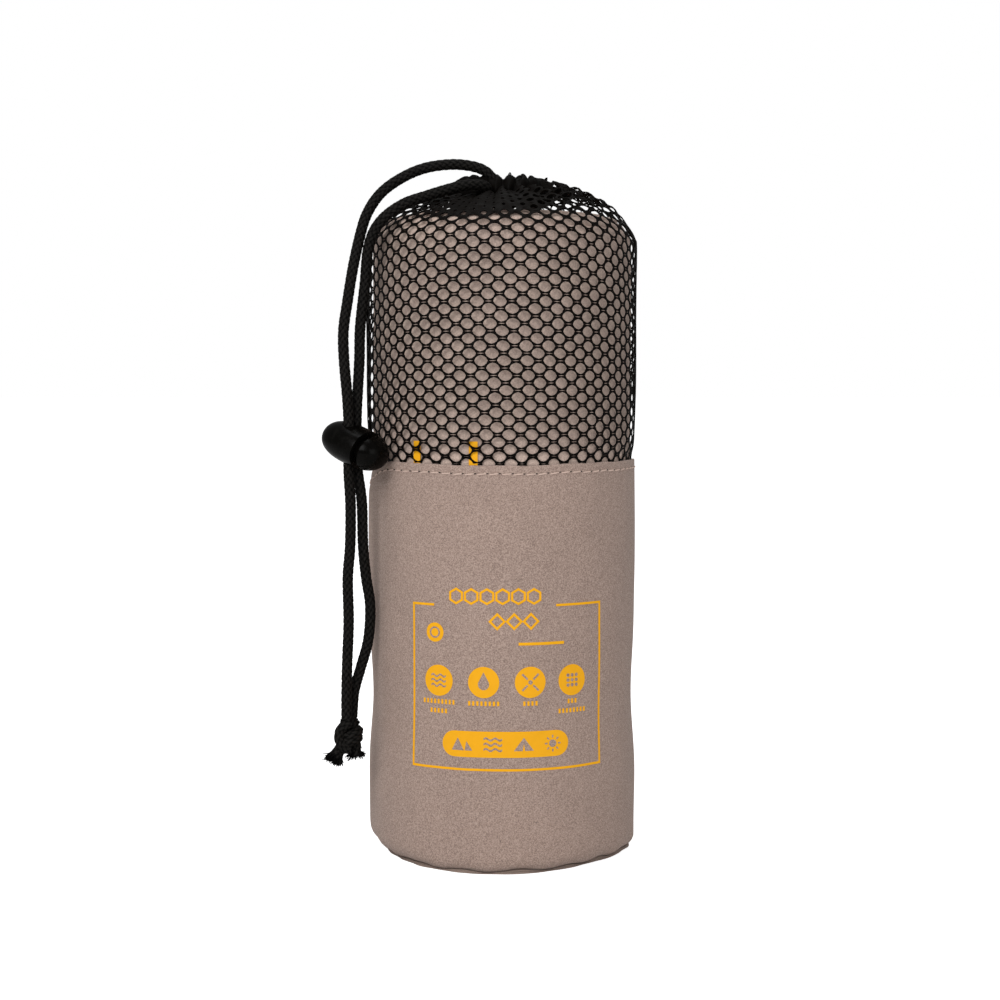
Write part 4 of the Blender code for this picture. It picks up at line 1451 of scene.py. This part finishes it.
class TOWEL_OT_lock(bpy.types.Operator):
    """Mould the cord lock's body and button, and give its spring a wire material"""

    bl_idname = "towel.lock"
    bl_label = "Cord lock"

    def execute(self, context):
        across = Vector((0, 0, 1)).cross(PRESS_AXIS).normalized()
        self.frame = Matrix((PRESS_AXIS, across, PRESS_AXIS.cross(across))).transposed().to_4x4()
        self.frame.translation = box_centre("lock_body", "lock_button")
        scuff = (0.008, 0.007, 0.006)
        plastic = grain_material("moulded_black", colours().lock, scuff, 0.20, 0.36, specular=0.05)
        self.make_body(plastic)
        self.make_button(plastic)
        spring = frame["nodes"]["lock_spring"]
        wire = grain_material("spring_wire", colours().steel, (0.35, 0.35, 0.36), 0.22, 0.4, metallic=1.0)
        spring.data.materials.clear()
        spring.data.materials.append(wire)
        return {"FINISHED"}

    def bean(self):
        """The whole bean in the lock's own frame, X along the press."""
        select_only()
        bpy.ops.mesh.primitive_uv_sphere_add(segments=72, ring_count=48, radius=1.0)
        item = bpy.context.object
        for vertex in item.data.vertices:
            z, y, x = vertex.co
            away = math.hypot(y, z)
            reach = max(1 - abs(x) ** BEAN_BLUNTNESS, 0.0) ** (1 / BEAN_BLUNTNESS)
            scale = reach / away if away > 1e-6 else 0
            vertex.co = (x * BEAN_HALF_LENGTH, y * scale * BEAN_HALF_WIDTH, z * scale * BEAN_HALF_HEIGHT)
        face_outwards(item)
        return item

    def keep_side(self, item, place, keep_low):
        """Cut the bean square across at a place along its length, and close it."""
        edit_whole(item)
        bpy.ops.mesh.bisect(
            plane_co=(place, 0, 0),
            plane_no=(1, 0, 0),
            use_fill=True,
            clear_outer=keep_low,
            clear_inner=not keep_low,
        )
        bpy.ops.object.mode_set(mode="OBJECT")

    def oval(self, low, high, half_width, half_height):
        """An oval rod along the lock's X axis."""
        select_only()
        bpy.ops.mesh.primitive_cylinder_add(
            vertices=48, radius=1.0, depth=high - low, location=((low + high) / 2, 0, 0)
        )
        item = bpy.context.object
        item.rotation_euler = (0, math.pi / 2, 0)
        item.scale = (half_height, half_width, 1)
        settle(item)
        return item

    def cord_slot(self, extra):
        """An upright rod that both cords fit, in the lock's own frame, extra longer along the press."""
        reach = CORD_DIAMETER / 2 + CORD_CLEARANCE
        half = (CORD_DIAMETER + GAP) / 2
        across = self.frame.col[1].to_3d()
        level = Vector((PRESS_AXIS.x, PRESS_AXIS.y, 0)).normalized()
        hole = self.frame.translation - PRESS_AXIS * SLOT_OFFSET
        outline = []
        for side in (1, -1):
            for n in range(13):
                turn = math.pi * n / 12
                along = reach * math.cos(turn) * side
                along += extra if along > 0.01 * MM else 0.0
                outline.append(level * along + across * side * (half + reach * math.sin(turn)))
        rings = [[hole + p + Vector((0, 0, z * MM)) for p in outline] for z in (-16, 16)]
        slot = mesh_object("slot", *skin(rings))
        face_outwards(slot)
        slot.matrix_world = self.frame.inverted()
        bpy.context.view_layer.update()
        settle(slot)
        return slot

    def combine(self, item, tool, operation):
        """Cut a tool from an item, or join it on, and remove the tool."""
        change = item.modifiers.new(operation, "BOOLEAN")
        change.operation = operation
        change.solver = "EXACT"
        change.object = tool
        apply_modifiers(item)
        bpy.data.objects.remove(tool)

    def hang(self, item, rounding):
        """Round an item's edges, and move it from the lock's own frame to where the lock hangs."""
        add_bevel(item, rounding, 3, 38)
        apply_modifiers(item)
        item.matrix_world = self.frame
        settle(item)

    def make_body(self, plastic):
        """The cup of the lock, with its cord slot."""
        body = self.bean()
        self.keep_side(body, BODY_RIM, keep_low=True)
        cup = self.oval(-7.6 * MM, BODY_RIM + 2 * MM, 5.5 * MM, 4.0 * MM)
        self.combine(body, cup, "DIFFERENCE")
        self.combine(body, self.cord_slot(0.0), "DIFFERENCE")
        self.hang(body, 0.45 * MM)
        finish_piece(body, "lock_shell", "lock", "lock_plastic", plastic, "lock_body", sharp=35)

    def make_button(self, plastic):
        """The button's round end, and its stem inside the cup."""
        shoulder = BODY_RIM + BUTTON_TRAVEL + GAP
        button = self.bean()
        self.keep_side(button, shoulder, keep_low=False)
        stem = self.oval(-5.4 * MM, shoulder + 0.5 * MM, 5.2 * MM, 3.7 * MM)
        self.combine(button, stem, "UNION")
        travel = BUTTON_TRAVEL * Vector((PRESS_AXIS.x, PRESS_AXIS.y, 0)).length
        self.combine(button, self.cord_slot(travel), "DIFFERENCE")
        self.hang(button, 0.4 * MM)
        finish_piece(button, "lock_push_button", "button", "lock_plastic", plastic, "lock_button", sharp=35)


# Print


def wrap_print(item, stand_off):
    """Wrap flat print, X along the cloth from its front and Z up, onto the sleeve."""
    for vertex in item.data.vertices:
        along, _, height = vertex.co
        spot = sleeve_place(-math.pi / 2 + along / SLEEVE_RADIUS, height)
        vertex.co = spot + Vector((spot.x, spot.y, 0)).normalized() * stand_off


class TOWEL_OT_print(bpy.types.Operator):
    """Print a frame, plain marks, badges and a strip of pictograms on the sleeve's front"""

    bl_idname = "towel.print"
    bl_label = "Print"

    def execute(self, context):
        ink, cloth = self.shapes()
        material = grain_material("orange_ink", colours().ink, (0.80, 0.37, 0.01), 0.6, 0.75, specular=0.2)
        self.make_layer("sleeve_print", ink, material, "taupe_cloth", 0.02 * MM)
        back = bpy.data.materials["sleeve_cloth"]
        self.make_layer("print_knockout", cloth, back, "taupe_cloth", 0.02 * MM + sizes().print_thickness)
        self.make_towel_bars(material)
        return {"FINISHED"}

    def shapes(self):
        """Outlines of the ink, and of the cloth-coloured marks on it, in millimetres."""
        line = 0.75
        left, right, low, high = -28.9, 33.0, 32.3, 81.8
        ink = [
            bar(left, high, left + 7.6, high, line),
            bar(right - 16.2, high, right, high, line),
            bar(left, low, left, high + line / 2, line),
            bar(right, low, right, high + line / 2, line),
            bar(left - line / 2, low, right + line / 2, low, line),
        ]
        ink += [polygon(-14.0 + 4.75 * n, 84.7, 2.6, 6, hole=1.8, turn=0.5) for n in range(6)]
        ink += [polygon(-1.4 + 5.1 * n, 77.2, 2.7, 4, hole=1.7) for n in range(3)]
        ink += [polygon(-21.1, 73.4, 2.95, 32), bar(5.0, 70.4, 19.5, 70.4, 0.9)]
        cloth = [polygon(-21.1, 73.4, 1.75, 28, hole=1.25)]
        for n, (x, upper, lower) in enumerate(((-19.9, 9, 5), (-5.5, 8, 0), (8.6, 4, 0), (22.3, 3, 8))):
            ink.append(polygon(x, 58.8, 4.75, 48))
            cloth += self.badge_mark(n, x, 58.8)
            ink += ticks(x, 52.4, upper) + ticks(x, 49.6, lower)
        ink.append(pill(-18.5, 20.8, 40.0, 3.95))
        for n, x in enumerate((-12.1, -2.7, 6.6, 15.6)):
            cloth += self.strip_mark(n, x, 40.0)
        return ink, cloth

    def badge_mark(self, n, x, z):
        """Plain pictograms: rising air, a drop, four folded corners, a check of dots."""
        if n == 0:
            return [wavy(x, z + 1.5 * (k - 1), 5.0, 0.55) for k in range(3)]
        if n == 1:
            return [polygon(x, z - 0.6, 1.7, 24), moved(x, z, (-1.45, 0.25), (1.45, 0.25), (0, 3.1))]
        if n == 2:
            corners = [(a, b) for a in (-1, 1) for b in (-1, 1)]
            arms = [bar(x + a * 0.9, z + b * 0.9, x + a * 2.5, z + b * 2.5, 0.6) for a, b in corners]
            return [*arms, polygon(x, z, 0.65, 16)]
        return [polygon(x + 1.5 * a, z + 1.5 * b, 0.55, 12) for a in (-1, 0, 1) for b in (-1, 0, 1)]

    def strip_mark(self, n, x, z):
        """Plain pictograms: peaks, waves, a tent, a sun."""
        if n == 0:
            return [
                moved(x, z, (-3.2, -1.9), (0.6, -1.9), (-1.3, 1.9)),
                moved(x, z, (0.9, -1.9), (3.2, -1.9), (1.4, 0.9)),
            ]
        if n == 1:
            return [wavy(x, z + 1.6 * (k - 1), 5.6, 0.6) for k in range(3)]
        if n == 2:
            return [
                moved(x, z, (-3.0, -1.9), (-0.4, -1.9), (0, 0.4), (0, 2.1)),
                moved(x, z, (0.4, -1.9), (3.0, -1.9), (0, 2.1), (0, 0.4)),
            ]
        rays = []
        for k in range(8):
            turn = math.pi * k / 4
            c, s = math.cos(turn), math.sin(turn)
            rays.append(bar(x + 1.7 * c, z + 1.7 * s, x + 2.5 * c, z + 2.5 * s, 0.45))
        return [polygon(x, z, 1.15, 20), *rays]

    def make_layer(self, name, outlines, material, slot, stand_off):
        """One object of flat shapes, cut fine enough to bend round the sleeve, with a wall."""
        item = flat_shapes(name, outlines)
        wrap_print(item, stand_off)
        add_wall(item, sizes().print_thickness, 1)
        apply_modifiers(item)
        finish_piece(item, name, "bag", slot, material, sharp=60)

    def make_towel_bars(self, material):
        """Two plain printed bars on the towel, seen through the net."""
        low, high = SLEEVE_TOP / MM - 6, SLEEVE_TOP / MM + 8.5
        bars = flat_shapes("towel_print", [bar(x, low, x, high, 2.7) for x in (-27.7, -8.6)])
        for vertex in bars.data.vertices:
            azimuth = -math.pi / 2 + vertex.co.x / ROLL_RADIUS
            vertex.co = ring_place(ROLL_RADIUS + 0.08 * MM, azimuth, vertex.co.z)
        add_wall(bars, sizes().print_thickness, 1)
        apply_modifiers(bars)
        finish_piece(bars, "towel_print", "bag", "towel_cloth", material, sharp=60)


def moved(x, z, *spots):
    """An outline moved to a place."""
    return [(x + a, z + b) for a, b in spots]


def bar(x0, z0, x1, z1, width):
    """A straight stroke."""
    run, rise = x1 - x0, z1 - z0
    length = math.hypot(run, rise)
    dx, dz = -rise / length * width / 2, run / length * width / 2
    return [(x0 - dx, z0 - dz), (x1 - dx, z1 - dz), (x1 + dx, z1 + dz), (x0 + dx, z0 + dz)]


def ticks(x, z, count):
    """A centred row of small upright ticks."""
    places = [x + 1.25 * (n - (count - 1) / 2) for n in range(count)]
    return [bar(a, z - 0.7, a, z + 0.7, 0.7) for a in places]


def polygon(x, z, radius, sides, hole=0.0, turn=0.0):
    """A regular polygon or disc. With a hole it is (outer, inner) outlines."""
    turns = [TURN * (n + turn) / sides for n in range(sides)]
    outer = [(x + radius * math.cos(a), z + radius * math.sin(a)) for a in turns]
    if not hole:
        return outer
    return outer, [(x + hole * math.cos(a), z + hole * math.sin(a)) for a in turns]


def pill(left, right, z, radius):
    """A strip with round ends."""
    outline = []
    for centre, start in ((right - radius, -90), (left + radius, 90)):
        for n in range(13):
            turn = math.radians(start + 15 * n)
            outline.append((centre + radius * math.cos(turn), z + radius * math.sin(turn)))
    return outline


def wavy(x, z, length, width):
    """A wavy stroke."""
    shares = [n / 16 for n in range(17)]
    spots = [(x + length * (a - 0.5), z + 0.35 * math.sin(2 * TURN * a)) for a in shares]
    return [(a, b - width / 2) for a, b in spots] + [(a, b + width / 2) for a, b in reversed(spots)]


def flat_shapes(name, outlines):
    """Flat faces in the XZ plane from outlines in millimetres, cut fine enough to bend."""
    work = bmesh.new()
    for outline in outlines:
        if isinstance(outline, tuple):
            rings = [[work.verts.new((x * MM, 0, z * MM)) for x, z in ring] for ring in outline]
            points = [point for ring in rings for point in ring]
            for face in ring_faces(2, len(rings[0])):
                work.faces.new([points[n] for n in face])
        else:
            work.faces.new([work.verts.new((x * MM, 0, z * MM)) for x, z in outline])
    cuts = [((n * 1.25 * MM, 0, 0), (1, 0, 0)) for n in range(-24, 29)]
    cuts += [((0, 0, n * MM), (0, 0, 1)) for n in range(21, 110, 3)]
    for place, normal in cuts:
        geometry = work.verts[:] + work.edges[:] + work.faces[:]
        bmesh.ops.bisect_plane(work, geom=geometry, plane_co=place, plane_no=normal)
    bmesh.ops.recalc_face_normals(work, faces=work.faces[:])
    for face in work.faces:
        if face.normal.y > 0:
            face.normal_flip()
    mesh = bpy.data.meshes.new(name)
    work.to_mesh(mesh)
    work.free()
    item = bpy.data.objects.new(name, mesh)
    bpy.context.collection.objects.link(item)
    return item


class TOWEL_PT_panel(bpy.types.Panel):
    """Lists the steps that make the towel and its bag"""

    bl_label = "Towel in its bag"
    bl_idname = "TOWEL_PT_panel"
    bl_space_type = "VIEW_3D"
    bl_region_type = "UI"
    bl_category = "Towel"

    def draw(self, context):
        for group in (context.scene.towel_sizes, context.scene.towel_colours):
            for key in group.__annotations__:
                self.layout.prop(group, key)
        for operator in OPERATORS:
            self.layout.operator(operator.bl_idname)


OPERATORS = (
    TOWEL_OT_stage,
    TOWEL_OT_drawcord,
    TOWEL_OT_towel,
    TOWEL_OT_sleeve,
    TOWEL_OT_net,
    TOWEL_OT_lock,
    TOWEL_OT_print,
)
CLASSES = (TowelSizes, TowelColours, *OPERATORS, TOWEL_PT_panel)


def register():
    """Register the settings, the operators and the panel."""
    for item in CLASSES:
        bpy.utils.register_class(item)
    bpy.types.Scene.towel_sizes = PointerProperty(type=TowelSizes)
    bpy.types.Scene.towel_colours = PointerProperty(type=TowelColours)


def unregister():
    """Remove what register added."""
    del bpy.types.Scene.towel_colours
    del bpy.types.Scene.towel_sizes
    for item in reversed(CLASSES):
        bpy.utils.unregister_class(item)


def main():
    """Make everything."""
    register()
    bpy.ops.towel.stage()
    bpy.ops.towel.drawcord()
    bpy.ops.towel.towel()
    bpy.ops.towel.sleeve()
    bpy.ops.towel.net()
    bpy.ops.towel.lock()
    bpy.ops.towel.print()
    boxes = {"cad": CAD_BOX, "visual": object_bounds()}
    plain = {name: [[float(v) for v in corner] for corner in box] for name, box in boxes.items()}


if __name__ == "__main__":
    main()
